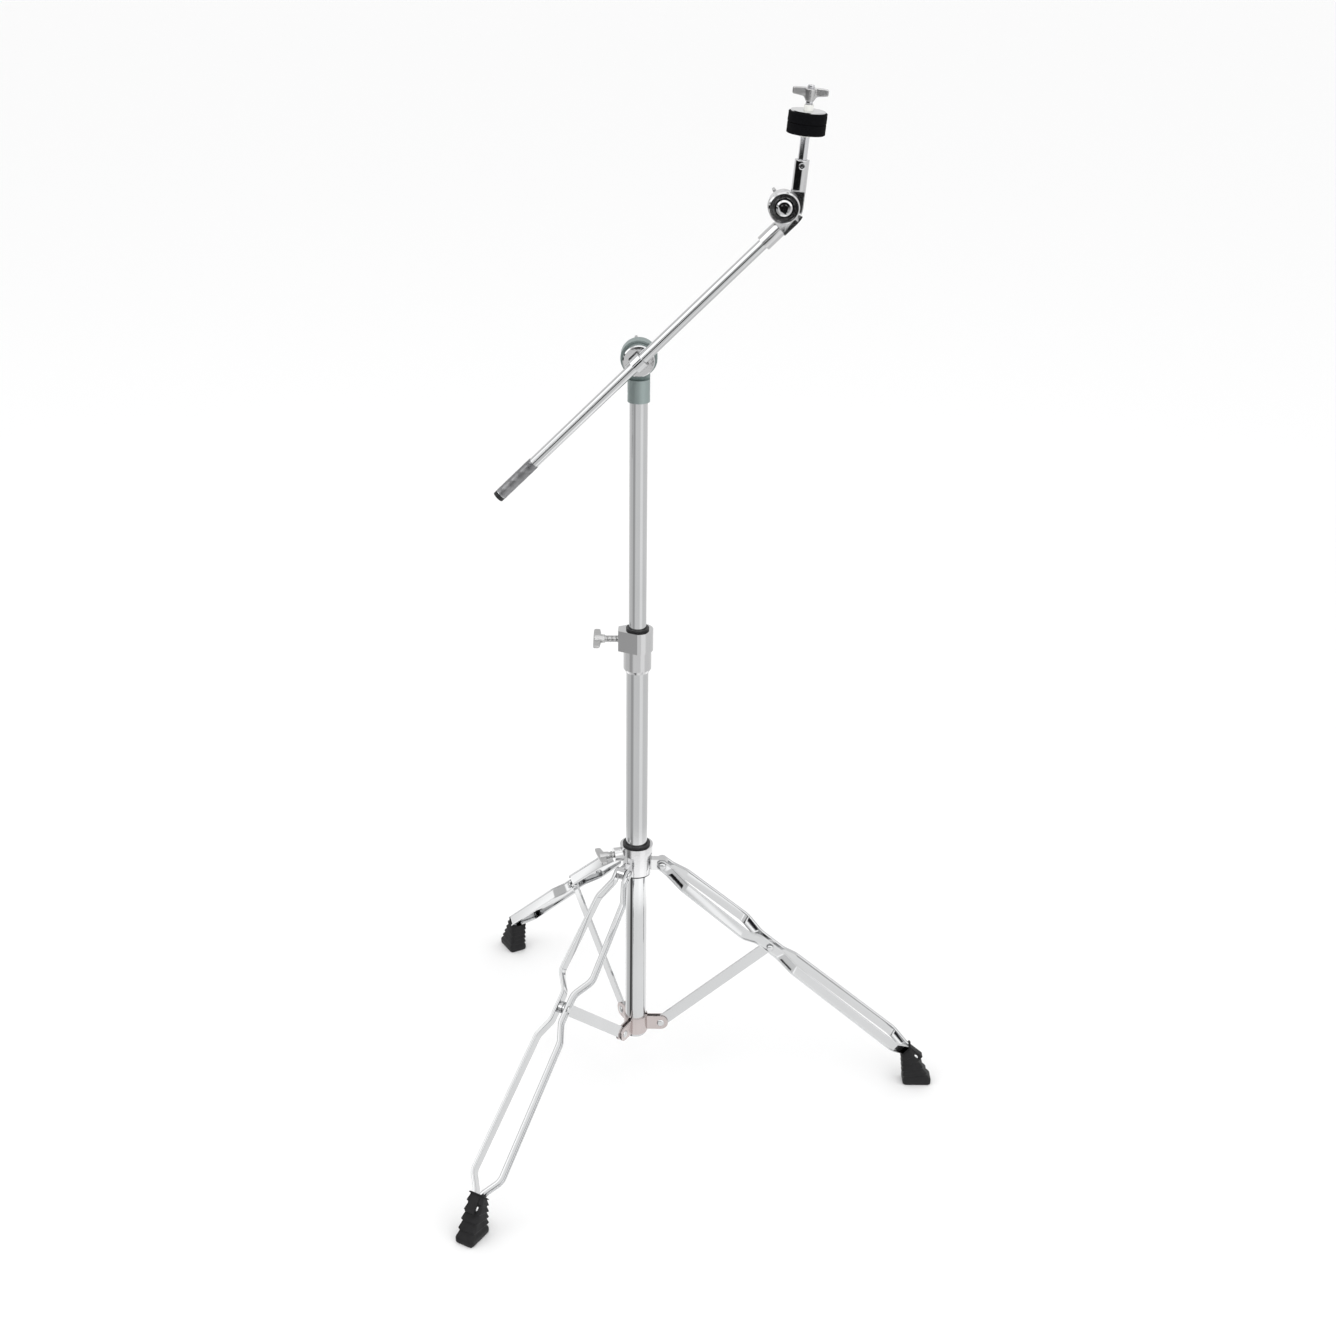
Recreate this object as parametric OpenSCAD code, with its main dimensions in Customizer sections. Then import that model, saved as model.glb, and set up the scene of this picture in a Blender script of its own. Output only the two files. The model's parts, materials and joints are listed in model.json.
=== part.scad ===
// Cymbal boom stand: folding double-braced tripod, two-section column, tilting boom and cymbal tilter.
// Millimetres. +Z is up the column, the origin is on the column's axis at floor level, and the boom
// rises towards +X.

/* [Column] */
// Outside diameter of the lower tube
lower_tube_d = 25.4; // [24:0.2:27]
// Length of the lower tube
lower_tube_len = 521; // [420:1:640]
// Outside diameter of the upper tube
upper_tube_d = 20; // [17:0.5:21]
// Length of the upper tube
upper_tube_len = 460; // [400:1:600]
// Wall of both tubes
tube_wall = 1.2; // [1:0.1:1.5]
// Bare length of upper tube between the height clamp and the boom tilter's neck
height_setting = 266; // [220:1:320]

/* [Tripod] */
// Slope of the legs below horizontal, in degrees
leg_slope = 40.4; // [34:0.2:50]
// Slope of the legs when the tripod is folded
folded_slope = 85; // [80:1:86]
// Distance between a leg's upper and middle pivots, which is also the stay's pivot distance
leg_span = 174.2; // [150:0.2:210]
// Distance from a leg's upper pivot to the mouth of its foot
leg_len = 404; // [370:1:490]
// Distance of the leg and stay pivots from the column's axis
pivot_r = 31.2; // [29:0.2:36]
// Height of the leg strips, edge to edge
strip_h = 13.3; // [12:0.1:15]
// Depth of the strips' channel section
strip_depth = 3.6; // [3:0.1:4]
// Sheet thickness of the strips
strip_t = 1.6; // [1.2:0.1:1.8]
// Half of the distance between a leg's two strips at the hub
half_gap_hub = 7; // [6.8:0.1:8]
// The same at the middle pivot
half_gap_mid = 6.2; // [6:0.1:7]
// The same inside the foot
half_gap_foot = 3.5; // [3:0.1:4]
// Half spread at the start of the upper wide stretch
upper_spread_in = 17; // [14:0.5:20]
// Half spread at the end of the upper wide stretch
upper_spread_out = 21; // [16:0.5:24]
// Half spread at the start of the lower wide stretch
lower_spread_in = 15.5; // [13:0.5:20]
// Half spread at the end of the lower wide stretch
lower_spread_out = 18.5; // [14:0.5:22]
// Width of the stays
stay_w = 14; // [11:0.5:16]
// Thickness of the stays
stay_t = 3; // [2.5:0.1:3.4]
// Diameter of the leg and stay pivot rivets
rivet_d = 6; // [5:0.1:6.5]

/* [Feet] */
// Height of a foot's mouth, measured on the leg's centre line
foot_h = 48; // [42:1:56]
// Width of a foot
foot_w = 24; // [22:1:28]
// Length of a foot's sole
foot_sole = 35.5; // [32:0.5:42]
// Ribs on each face of a foot
foot_ribs = 5; // [3:1:6]

/* [Boom] */
// Slope of the boom above horizontal, in degrees
boom_slope = 44.9; // [30:0.1:60]
// Outside diameter of the boom
boom_d = 12; // [11:0.1:13]
// Wall of the boom
boom_wall = 1.5; // [1.2:0.1:1.8]
// Length of boom below the boom tilter's axis
boom_below = 217; // [180:1:260]
// Length of boom from the boom tilter's axis to the cymbal tilter's socket
boom_above = 182.6; // [150:1:260]
// Length of the knurled grip at the boom's lower end
knurl_len = 52; // [40:1:60]
// Diameter of the boom tilter's base disc
base_disc_d = 40; // [38:0.5:44]
// Diameter of the boom tilter's front disc
saddle_d = 34.8; // [33:0.2:36]

/* [Cymbal tilter] */
// Lean of the cymbal post from vertical, in degrees
post_lean = 5; // [-20:1:30]
// Diameter of the post where the cymbal sits
post_d = 8; // [7:0.1:8.4]
// Length of the post above its shoulder
post_top_len = 51.2; // [50:0.2:70]
// Diameter of the tilter's front disc
tilter_d = 32.8; // [31:0.2:34]
// Distance of the boom's and the post's axes from the tilter's pivot
arm_offset = 13; // [12:0.1:14]
// Diameter of the felts
felt_d = 40; // [30:1:50]
// Height of each felt
felt_h = 10.8; // [8:0.1:13]

/* [Wing nuts and bolts] */
// Span across the wings
wing_span = 37.5; // [34:0.5:40]
// Thread diameter of the wing nuts and bolts
thread_d = 8; // [7:0.1:8]

/* [Hidden] */
$fn = 96;
eps = 0.02;          // overlap where solids of one piece join
snug = 0.02;         // radial clearance of pieces fixed to each other
run = 0.08;          // radial clearance of a turning or sliding fit
gap = 0.4;           // clearance between faces that move past each other

// Tripod, worked upwards from the floor
leg_az = [0, 120, 240];                                     // right, rear and front leg
hub_z = foot_h + leg_len * sin(leg_slope);                  // leg pivots in the hub
stay_z = hub_z - 2 * leg_span * sin(leg_slope);             // stay pivots in the bracket
hub_lift = 2 * leg_span * (sin(folded_slope) - sin(leg_slope));
rivet_r = rivet_d / 2;
mid_rivet_r = rivet_r - 0.5;
head_h = 1.9;
leg_end = [pivot_r + leg_len * cos(leg_slope), foot_h];

// Bracket at the foot of the lower tube
plate_t = 2;
plate_h = 22;
ear_r = 9;
ear_in = stay_t / 2 + gap;
ear_out = ear_in + plate_t;
tube_z0 = stay_z - plate_h / 2 - 4;
lower_r = lower_tube_d / 2;
lower_bore = lower_r - tube_wall;

// Hub
hub_r = lower_r + 5.9;
hub_ring_r = hub_r + 1.1;
hub_bottom = hub_z - 10;
hub_groove_z = hub_z + 15;
hub_top = hub_z + 26.5;
hub_bush_r = lower_r + 1.9;
hub_flange_r = hub_bush_r + 2.7;
bush_flange_h = 2.4;
lug_half = half_gap_hub - strip_depth / 2 - gap;
lug_r = 7;
hub_bolt_z = hub_z + 15;
hub_bolt_az = 196;
boss_r = 8.4;
boss_face = hub_r + 9.5;

// Height clamp on top of the lower tube
clamp_z = tube_z0 + lower_tube_len;                         // shoulder that the lower tube meets
sleeve_r = lower_r + 3.3;
sleeve_h = 23;
sleeve_taper = 4;
block_r = lower_r + 5.3;
block_h = 25;
block_left = lower_r + 9.3;
boss_half = thread_d / 2 + 3.2;
upper_r = upper_tube_d / 2;
upper_bore = upper_r - tube_wall;
clamp_bush_r = upper_r + 2;
clamp_top = clamp_z + block_h + bush_flange_h;
clamp_bolt_z = clamp_z + block_h / 2;

// Upper column and boom tilter
neck_r = upper_r + 2.3;
neck_drop = 48;                                             // tilter axis down to the neck's lower end
neck_round = 22.5;                                          // tilter axis down to the neck's cut-back
tilt_z = clamp_top + height_setting + neck_drop;
tube_top = tilt_z - 28.5;
tube_bottom = tube_top - upper_tube_len;
disc_back = 12;
disc_front = -3;
ratchet_gap = 2;
saddle_back = disc_front - ratchet_gap;
saddle_face = saddle_back - 10;
thread_r = thread_d / 2;
washer_t = 1.6;

// Boom
boom_r = boom_d / 2;
groove_depth = 2.3;
boom_y = saddle_face - boom_r - 0.3 + groove_depth;
boom_dir = [cos(boom_slope), 0, sin(boom_slope)];
knurl_r = boom_r + 0.4;
cap_h = 4.7;
eye_w = 12;
eye_r = boom_r + 3.2;

// Cymbal tilter
half_t = 8.6;                                               // thickness of each half
face = 0.9;                                                 // each half's distance from the parting plane
cheek_t = 5.6;
cheek_inset = 0.1;
cheek_step = 0.4;
rim_w = 2;                                                  // rim and hub rings of the front disc
dish = 1;                                                   // depth of the recess between them
cheek_lap = 12;                                             // degrees that a cheek runs into its arm
socket_r = boom_r + 2.7;
socket_reach = 41;
arm_r = post_d / 2 + 3.7;
arm_start = 18;
arm_top = 49.7;
tilter_r = tilter_d / 2;
pivot_along = boom_above + socket_reach;
tilter_x = pivot_along * cos(boom_slope) - arm_offset * sin(boom_slope);
tilter_z = tilt_z + pivot_along * sin(boom_slope) + arm_offset * cos(boom_slope);
cheek_meet = (boom_slope - 90 - post_lean) / 2;             // angle where the two cheeks end

// Post and what is stacked on it
post_r = post_d / 2;
shank_r = post_r + 0.7;
shoulder = 72.8;
post_tip = shoulder + post_top_len;
sleeve_t = 0.85;
seat_h = 2.5;
sleeve_in = post_r + run;
sleeve_out = sleeve_in + sleeve_t;
felt_z = shoulder + 0.1 + seat_h + 0.1;
upper_felt_z = felt_z + felt_h + 0.3;
washer_z = upper_felt_z + felt_h + 0.1;
washer_h = 1.4;
sleeve_top = washer_z + washer_h + 5.6;
nut_z = sleeve_top + 3.5;

// Wing nuts and bolts
wing_hub_r = thread_r + 1.6;
wing_h = 13.4;
wing_t = 4.6;
bolt_wing_z = 24.6;                                         // shank length of the height bolt

CHROME = [0.80, 0.81, 0.83];
NICKEL = [0.66, 0.61, 0.60];
ZINC = [0.52, 0.57, 0.56];
BLACK = [0.06, 0.06, 0.065];
NATURAL = [0.88, 0.88, 0.85];

// ---- helpers ----

// Cylinder along X, centred on the origin
module x_rod(r, h) { rotate([0, 90, 0]) cylinder(r = r, h = h, center = true); }

// Cylinder along Y, centred on the origin
module y_rod(r, h) { rotate([90, 0, 0]) cylinder(r = r, h = h, center = true); }

// A tube standing on z = 0
module pipe(r_out, r_in, h) {
    difference() {
        cylinder(r = r_out, h = h);
        translate([0, 0, -1]) cylinder(r = r_in, h = h + 2);
    }
}

// Point t of the way along a quadratic curve
function curve(a, b, c, t) = (1 - t) * (1 - t) * a + 2 * t * (1 - t) * b + t * t * c;

// Outline of a pair of wings, centred on x = 0, with y along the thread
function wing_side(hub, half, h) = concat(
    [for (t = [0:0.25:1]) curve([hub - 1, h * 0.08], [hub + 1, h * 0.4], [half - 1.5, h * 0.42], t)],
    [for (t = [0.25:0.25:1]) curve([half - 1.5, h * 0.42], [half + 0.4, h * 0.66], [half - 0.8, h * 0.96], t)],
    [[hub + 2, h], [0, h]]
);

// Head of a wing nut or bolt standing on z = 0, wings along X
module wing_head() {
    side = wing_side(wing_hub_r, wing_span / 2, wing_h);
    other = [for (i = [len(side) - 2:-1:0]) [-side[i][0], side[i][1]]];
    cylinder(r1 = wing_hub_r - 0.6, r2 = wing_hub_r, h = wing_h - 1);
    rotate([90, 0, 0]) linear_extrude(wing_t, center = true) polygon(concat(side, other));
}

// Wing nut with a clear bore
module wing_nut_shape() {
    difference() {
        wing_head();
        translate([0, 0, -1]) cylinder(r = thread_r + run, h = wing_h + 2);
    }
}

// Wing bolt: the head stands on z = 0 and the thread goes down
module wing_bolt_shape(shank) {
    wing_head();
    translate([0, 0, -shank]) cylinder(r = thread_r, h = shank + eps);
}

// Domed rivet head whose flat side is on z = 0
module rivet_head(r, h) {
    cylinder(r = r, h = h * 0.4);
    translate([0, 0, h * 0.4 - eps]) cylinder(r1 = r, r2 = r * 0.62, h = h * 0.6);
}

// Rivet along Y: shank from -reach to reach, with a head past each end
module y_rivet(r, reach) {
    y_rod(r, 2 * reach + eps);
    for (side = [-1, 1])
        rotate([-90 * side, 0, 0]) translate([0, 0, reach]) rivet_head(r + 1.7, head_h);
}

// ---- places ----

// Leg frame: x runs down the leg from its hub pivot, y is sideways, z is off the leg's upper edge
module on_leg(az) {
    rotate([0, 0, az]) translate([pivot_r, 0, hub_z]) rotate([0, leg_slope, 0]) children();
}

// Stay frame: x runs up the stay from its bracket pivot
module on_stay(az) {
    rotate([0, 0, az]) translate([pivot_r, 0, stay_z]) rotate([0, -leg_slope, 0]) children();
}

// Boom tilter frame: origin on the tilt axis above the column
module on_tilt() { translate([0, 0, tilt_z]) children(); }

// Boom frame: x runs up the boom, with the origin beside the boom tilter's axis
module on_boom() { translate([0, boom_y, tilt_z]) rotate([0, -boom_slope, 0]) children(); }

// Cymbal tilter frame: x and y lie in the tilting plane, z comes out of the front disc
module on_tilter() { translate([tilter_x, boom_y, tilter_z]) rotate([90, 0, 0]) children(); }

// Post frame: z runs up the post's axis from beside the tilter's pivot
module on_post() {
    translate([tilter_x, boom_y, tilter_z]) rotate([0, post_lean, 0]) translate([arm_offset, 0, 0])
        children();
}

// ---- base ----

module lower_tube() {
    color(CHROME) translate([0, 0, tube_z0]) pipe(lower_r, lower_bore, lower_tube_len);
}

// One ear of a bracket plate, beside the leg plane at azimuth 0
module bracket_ear() {
    reach = pivot_r - lower_r;
    translate([lower_r - 2, ear_in, stay_z - ear_r]) cube([reach + 2, plate_t, 2 * ear_r]);
    translate([pivot_r, ear_in + plate_t / 2, stay_z]) y_rod(ear_r, plate_t);
}

// Plate that wraps a third of the tube between two legs
module bracket_plate(turn) {
    far = 2 * pivot_r;
    wrap = lower_r + plate_t;
    color(NICKEL) rotate([0, 0, turn]) difference() {
        union() {
            intersection() {
                translate([0, 0, stay_z - plate_h / 2]) cylinder(r = wrap, h = plate_h);
                translate([0, 0, stay_z - plate_h]) linear_extrude(2 * plate_h) polygon([
                    [0, ear_in],
                    [far, ear_in],
                    [far, far],
                    [-far / 2, far],
                    [-far / 2 + ear_in * cos(30), far * sin(60) + ear_in * sin(30)],
                    [ear_in * cos(30), ear_in * sin(30)]
                ]);
            }
            bracket_ear();
            rotate([0, 0, 120]) mirror([0, 1, 0]) bracket_ear();
        }
        translate([0, 0, stay_z - plate_h]) cylinder(r = lower_r + snug, h = 2 * plate_h);
        for (az = [0, 120]) rotate([0, 0, az]) translate([pivot_r, 0, stay_z]) y_rod(rivet_r + snug, 20);
    }
}

module stay_pivot_rivets() {
    color(CHROME) for (az = leg_az)
        rotate([0, 0, az]) translate([pivot_r, 0, stay_z]) y_rivet(rivet_r, ear_out + snug);
}

module clamp_casting() {
    color(CHROME) difference() {
        union() {
            translate([0, 0, clamp_z - sleeve_h]) cylinder(r = sleeve_r, h = sleeve_h + eps);
            translate([0, 0, clamp_z - sleeve_h - sleeve_taper])
                cylinder(r1 = lower_r + 1, r2 = sleeve_r, h = sleeve_taper + eps);
            intersection() {
                translate([0, 0, clamp_z]) cylinder(r = block_r, h = block_h);
                translate([-eps, -2 * block_r, clamp_z]) cube([4 * block_r, 4 * block_r, block_h]);
            }
            translate([0, 0, clamp_z]) linear_extrude(block_h) polygon([
                [0, -block_r],
                [0, block_r],
                [-block_left, boss_half],
                [-block_left, -boss_half]
            ]);
        }
        translate([0, 0, clamp_z - 2 * sleeve_h]) cylinder(r = lower_r + snug, h = 2 * sleeve_h);
        translate([0, 0, clamp_z - 1]) cylinder(r = clamp_bush_r + snug, h = block_h + 2);
        translate([-block_left / 2 - 2, 0, clamp_bolt_z]) x_rod(thread_r + run, block_left + 4);
    }
}

module clamp_bush() {
    color(BLACK) difference() {
        union() {
            translate([0, 0, clamp_z + snug]) cylinder(r = clamp_bush_r, h = block_h);
            translate([0, 0, clamp_z + block_h + snug])
                cylinder(r = clamp_bush_r + 1.2, h = bush_flange_h - snug);
        }
        translate([0, 0, clamp_z - 1]) cylinder(r = upper_r + run, h = block_h + bush_flange_h + 2);
    }
}

module height_wing_bolt() {
    tip = clamp_bush_r + gap;
    color(CHROME) translate([-tip - bolt_wing_z, 0, clamp_bolt_z]) rotate([0, -90, 0])
        rotate([0, 0, 80]) wing_bolt_shape(bolt_wing_z);
}

// ---- hub ----

module hub_casting() {
    color(CHROME) difference() {
        union() {
            translate([0, 0, hub_bottom]) cylinder(r = hub_r, h = hub_top - hub_bottom);
            translate([0, 0, hub_groove_z + 1]) cylinder(r = hub_ring_r, h = hub_top - hub_groove_z - 1);
            for (az = leg_az) rotate([0, 0, az]) {
                translate([lower_r, -lug_half, hub_z - lug_r])
                    cube([pivot_r - lower_r, 2 * lug_half, 2 * lug_r]);
                translate([pivot_r, 0, hub_z]) y_rod(lug_r, 2 * lug_half);
            }
            rotate([0, 0, hub_bolt_az]) translate([boss_face / 2, 0, hub_bolt_z])
                x_rod(boss_r, boss_face);
        }
        translate([0, 0, hub_bottom - 1]) cylinder(r = hub_bush_r + snug, h = hub_top - hub_bottom + 2);
        for (az = leg_az) rotate([0, 0, az]) translate([pivot_r, 0, hub_z])
            y_rod(rivet_r + snug, 2 * lug_half + 2);
        rotate([0, 0, hub_bolt_az]) translate([boss_face / 2 + 2, 0, hub_bolt_z])
            x_rod(thread_r + run, boss_face + 4);
    }
}

module hub_bush() {
    h = hub_top - hub_bottom;
    color(BLACK) difference() {
        union() {
            translate([0, 0, hub_bottom - bush_flange_h]) cylinder(r = hub_bush_r, h = h + 2 * bush_flange_h);
            translate([0, 0, hub_bottom - bush_flange_h]) cylinder(r = hub_flange_r, h = bush_flange_h - snug);
            translate([0, 0, hub_top + snug]) cylinder(r = hub_flange_r - 1, h = bush_flange_h - snug);
        }
        translate([0, 0, hub_bottom - 2 * bush_flange_h])
            cylinder(r = lower_r + run, h = h + 4 * bush_flange_h);
    }
}

// The three rivets that the legs swing on; their heads clear the strips
module leg_pivot_rivets() {
    color(CHROME) for (az = leg_az)
        rotate([0, 0, az]) translate([pivot_r, 0, hub_z])
            y_rivet(rivet_r, half_gap_hub + strip_depth / 2 + gap);
}

module hub_wing_bolt() {
    tip = hub_bush_r + gap;
    shank = boss_face - tip + 6;
    color(CHROME) rotate([0, 0, hub_bolt_az]) translate([tip + shank, 0, hub_bolt_z])
        rotate([0, 90, 0]) rotate([0, 0, 90]) wing_bolt_shape(shank);
}

// ---- legs ----

// Centre line of one strip: distance down the leg, distance from the leg's middle plane
strip_tail = 22;
strip_path = [
    [-strip_h / 2, half_gap_hub],
    [12, half_gap_hub],
    [36, upper_spread_in],
    [leg_span - 40, upper_spread_out],
    [leg_span - 18, half_gap_mid],
    [leg_span + 18, half_gap_mid],
    [leg_span + 40, lower_spread_in],
    [leg_len - 22, lower_spread_out],
    [leg_len - 1, half_gap_foot],
    [leg_len + strip_tail, half_gap_foot]
];

// The centre line with each bend eased over ease millimetres on either side
ease = 4;
function unit(v) = v / norm(v);
function eased(p) = [for (i = [0:len(p) - 1])
    for (t = (i == 0 || i == len(p) - 1) ? [0] : [0, 0.5, 1])
        (i == 0 || i == len(p) - 1) ? p[i]
        : curve(p[i] + ease * unit(p[i - 1] - p[i]), p[i], p[i] + ease * unit(p[i + 1] - p[i]), t)];

// A point's sideways direction, mitred between its two neighbours
function left(v) = [-v[1], v[0]];
function mitre(p, i) =
    let (a = left(unit(p[max(i, 1)] - p[max(i, 1) - 1])),
         b = left(unit(p[min(i, len(p) - 2) + 1] - p[min(i, len(p) - 2)])))
    (a + b) / (1 + a * b);
function ribbon(p, near, far) = concat(
    [for (i = [0:len(p) - 1]) p[i] + near * mitre(p, i)],
    [for (i = [len(p) - 1:-1:0]) p[i] + far * mitre(p, i)]
);

// Channel strip whose web faces outwards and whose edges turn in
module leg_strip(az, side) {
    path = eased(strip_path);
    half = strip_depth / 2;
    color(CHROME) on_leg(az) mirror([0, side < 0 ? 1 : 0, 0]) difference() {
        intersection() {
            union() {
                translate([0, 0, -strip_h / 2]) linear_extrude(strip_h)
                    polygon(ribbon(path, half - strip_t, half));
                for (z = [-strip_h / 2, strip_h / 2 - strip_t])
                    translate([0, 0, z]) linear_extrude(strip_t) polygon(ribbon(path, -half, half));
            }
            union() {
                y_rod(strip_h / 2, 100);
                translate([0, -50, -strip_h / 2]) cube([leg_len + strip_tail, 100, strip_h]);
            }
        }
        y_rod(rivet_r + run, 100);
        translate([leg_span, 0, 0]) y_rod(mid_rivet_r + snug, 100);
        translate([leg_len + strip_tail - 7, 0, 0]) y_rod(mid_rivet_r + snug, 100);
    }
}

// Middle pivot's two rivet ends, one in each strip; the gap between the strips stays open
module mid_rivet(az) {
    outer = half_gap_mid + strip_depth / 2;
    inner = half_gap_mid - strip_depth / 2;
    color(CHROME) on_leg(az) translate([leg_span, 0, 0]) for (side = [-1, 1])
        rotate([-90 * side, 0, 0]) {
            translate([0, 0, inner]) cylinder(r = mid_rivet_r, h = outer - inner + eps);
            translate([0, 0, outer]) rivet_head(mid_rivet_r + 1.7, head_h);
        }
}

// Rivet that holds the strips' lower ends together inside the foot
module end_rivet(az) {
    color(CHROME) on_leg(az) translate([leg_len + strip_tail - 7, 0, 0])
        y_rivet(mid_rivet_r, half_gap_foot + strip_depth / 2 + snug);
}

// Side outline of a foot: distance from the column's axis, height
mouth_half = 9;
heel_r = leg_end[0] - 2;
toe_r = heel_r + foot_sole;
foot_up = [leg_end[0] + mouth_half * sin(leg_slope), leg_end[1] + mouth_half * cos(leg_slope)];
foot_down = [leg_end[0] - mouth_half * sin(leg_slope), leg_end[1] - mouth_half * cos(leg_slope)];
toe_h = 7;
heel_h = 6;
rib_depth = 1.7;

// Saw-tooth edge from a to b with its notches on the left
function ribbed(a, b, n) = [for (i = [0:n - 1])
    for (k = [0, 1]) a + (b - a) * (i + k * 0.3) / n + (k == 1 ? rib_depth * left(unit(b - a)) : [0, 0])];

module foot(az) {
    outline = concat(
        ribbed(foot_up, [toe_r, toe_h], foot_ribs) * 1,
        [[toe_r, toe_h], [toe_r, 0], [heel_r, 0], [heel_r, heel_h]],
        ribbed([heel_r, heel_h], foot_down, foot_ribs),
        [foot_down]
    );
    fit = strip_depth / 2 + 0.1;
    color(BLACK) difference() {
        rotate([0, 0, az]) rotate([90, 0, 0]) linear_extrude(foot_w, center = true) polygon(outline);
        on_leg(az) translate([leg_len - 12, -half_gap_foot - fit, -strip_h / 2 - 0.1])
            cube([12 + strip_tail + 0.2, 2 * (half_gap_foot + fit), strip_h + 0.2]);
        on_leg(az) translate([leg_len + strip_tail - 7, 0, 0])
            y_rod(mid_rivet_r + 2, 2 * (half_gap_foot + strip_depth / 2 + head_h + 0.4));
    }
}

// ---- stays ----

module stay(az) {
    color(CHROME) on_stay(az) difference() {
        union() {
            translate([0, -stay_t / 2, -stay_w / 2]) cube([leg_span, stay_t, stay_w]);
            for (x = [0, leg_span]) translate([x, 0, 0]) y_rod(stay_w / 2, stay_t);
        }
        y_rod(rivet_r + run, 20);
        translate([leg_span, 0, 0]) y_rod(mid_rivet_r + snug, 20);
    }
}

// Spool that centres the stay between the strips
module stay_bush(az) {
    reach = half_gap_mid - strip_depth / 2 - 0.3;
    wide = reach - stay_t / 2 - snug;
    color(CHROME) on_stay(az) translate([leg_span, 0, 0]) {
        y_rod(mid_rivet_r, 2 * reach);
        for (side = [-1, 1]) translate([0, side * (reach - wide / 2), 0]) y_rod(mid_rivet_r + 3, wide);
    }
}

// ---- upper column ----

module upper_tube_plug() {
    color(BLACK) {
        translate([0, 0, tube_bottom - 3.3]) cylinder(r = lower_bore - 0.5, h = 3);
        translate([0, 0, tube_bottom - 3.3]) cylinder(r = upper_bore - run, h = 16);
    }
}

module upper_tube() {
    color(CHROME) difference() {
        translate([0, 0, tube_bottom]) pipe(upper_r, upper_bore, upper_tube_len);
        translate([0, 0, tilt_z - neck_drop + 9]) x_rod(2 + snug, 60);
    }
}

// Neck and the rear half of the boom tilter
module tilter_base() {
    color(ZINC) on_tilt() difference() {
        union() {
            translate([0, 0, -neck_drop]) cylinder(r = neck_r, h = neck_drop - neck_round);
            intersection() {
                translate([0, 0, -neck_round - eps]) cylinder(r = neck_r, h = neck_round);
                translate([-50, disc_front, -50]) cube([100, 50, 100]);
            }
            translate([0, (disc_back + disc_front) / 2, 0]) y_rod(base_disc_d / 2, disc_back - disc_front);
        }
        translate([0, 0, -neck_drop - 1]) cylinder(r = upper_r + snug, h = neck_drop - 28.5 + 1);
        y_rod(thread_r + run, 100);
        translate([0, 0, 9 - neck_drop]) x_rod(2 + snug, 60);
    }
}

module neck_pin() { color(CHROME) translate([0, 0, tilt_z - neck_drop + 9]) x_rod(2, 2 * neck_r - 0.4); }

// ---- boom clamp ----

// Front half of the boom tilter, grooved for the boom and pocketed for the eye
module boom_saddle() {
    thick = saddle_back - saddle_face;
    back = boom_y + eye_r + 0.3;
    rim = 1.2;
    color(CHROME) difference() {
        on_tilt() union() {
            translate([0, saddle_back, 0]) rotate([90, 0, 0]) cylinder(r = saddle_d / 2, h = thick - rim);
            translate([0, saddle_face + rim + eps, 0]) rotate([90, 0, 0])
                cylinder(r1 = saddle_d / 2, r2 = saddle_d / 2 - rim, h = rim);
        }
        on_tilt() y_rod(thread_r + 0.2, 100);
        on_boom() x_rod(boom_r + 0.3, 80);
        on_boom() translate([-eye_w / 2 - 0.3, boom_y - saddle_face, -eye_r - 0.3])
            cube([eye_w + 0.6, back - 2 * boom_y + saddle_face, 2 * eye_r + 0.6]);
    }
}

module eye_bolt() {
    start = boom_y + eye_r - 1.2;
    color(CHROME) difference() {
        union() {
            on_boom() x_rod(eye_r, eye_w);
            on_tilt() translate([0, start, 0]) rotate([-90, 0, 0])
                cylinder(r = thread_r, h = disc_back + 18 - start);
        }
        on_boom() x_rod(boom_r + run, 60);
    }
}

module boom_washer() {
    color(CHROME) on_tilt() translate([0, disc_back + gap, 0]) rotate([-90, 0, 0])
        pipe(thread_r + 5, thread_r + run, washer_t);
}

module boom_wing_nut() {
    color(CHROME) on_tilt() translate([0, disc_back + 2 * gap + washer_t, 0]) rotate([-90, 0, 0])
        rotate([0, 0, -102]) wing_nut_shape();
}

// ---- boom ----

module boom_end_cap() {
    color(BLACK) on_boom() {
        translate([-boom_below + cap_h / 2, 0, 0]) x_rod(knurl_r, cap_h);
        translate([-boom_below + cap_h + 5, 0, 0]) x_rod(boom_r - boom_wall - run, 10 + 2 * eps);
    }
}

module boom_tube() {
    low = -boom_below + cap_h + 0.3;
    high = boom_above + 20;
    color(CHROME) on_boom() difference() {
        union() {
            translate([(low + high) / 2, 0, 0]) x_rod(boom_r, high - low);
            translate([low + knurl_len / 2, 0, 0]) x_rod(knurl_r, knurl_len);
        }
        translate([(low + high) / 2, 0, 0]) x_rod(boom_r - boom_wall, high - low + 2);
        translate([boom_above + 10, 0, 0]) cylinder(r = 1.5 + snug, h = 40, center = true);
    }
}

// Wedge between two angles, to cut a cheek out of a disc
module wedge(a0, a1) {
    far = 60;
    mid = (a0 + a1) / 2;
    linear_extrude(40, center = true) polygon([
        [0, 0],
        [far * cos(a0), far * sin(a0)],
        [far * cos(mid), far * sin(mid)] * 1.6,
        [far * cos(a1), far * sin(a1)]
    ]);
}

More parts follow.
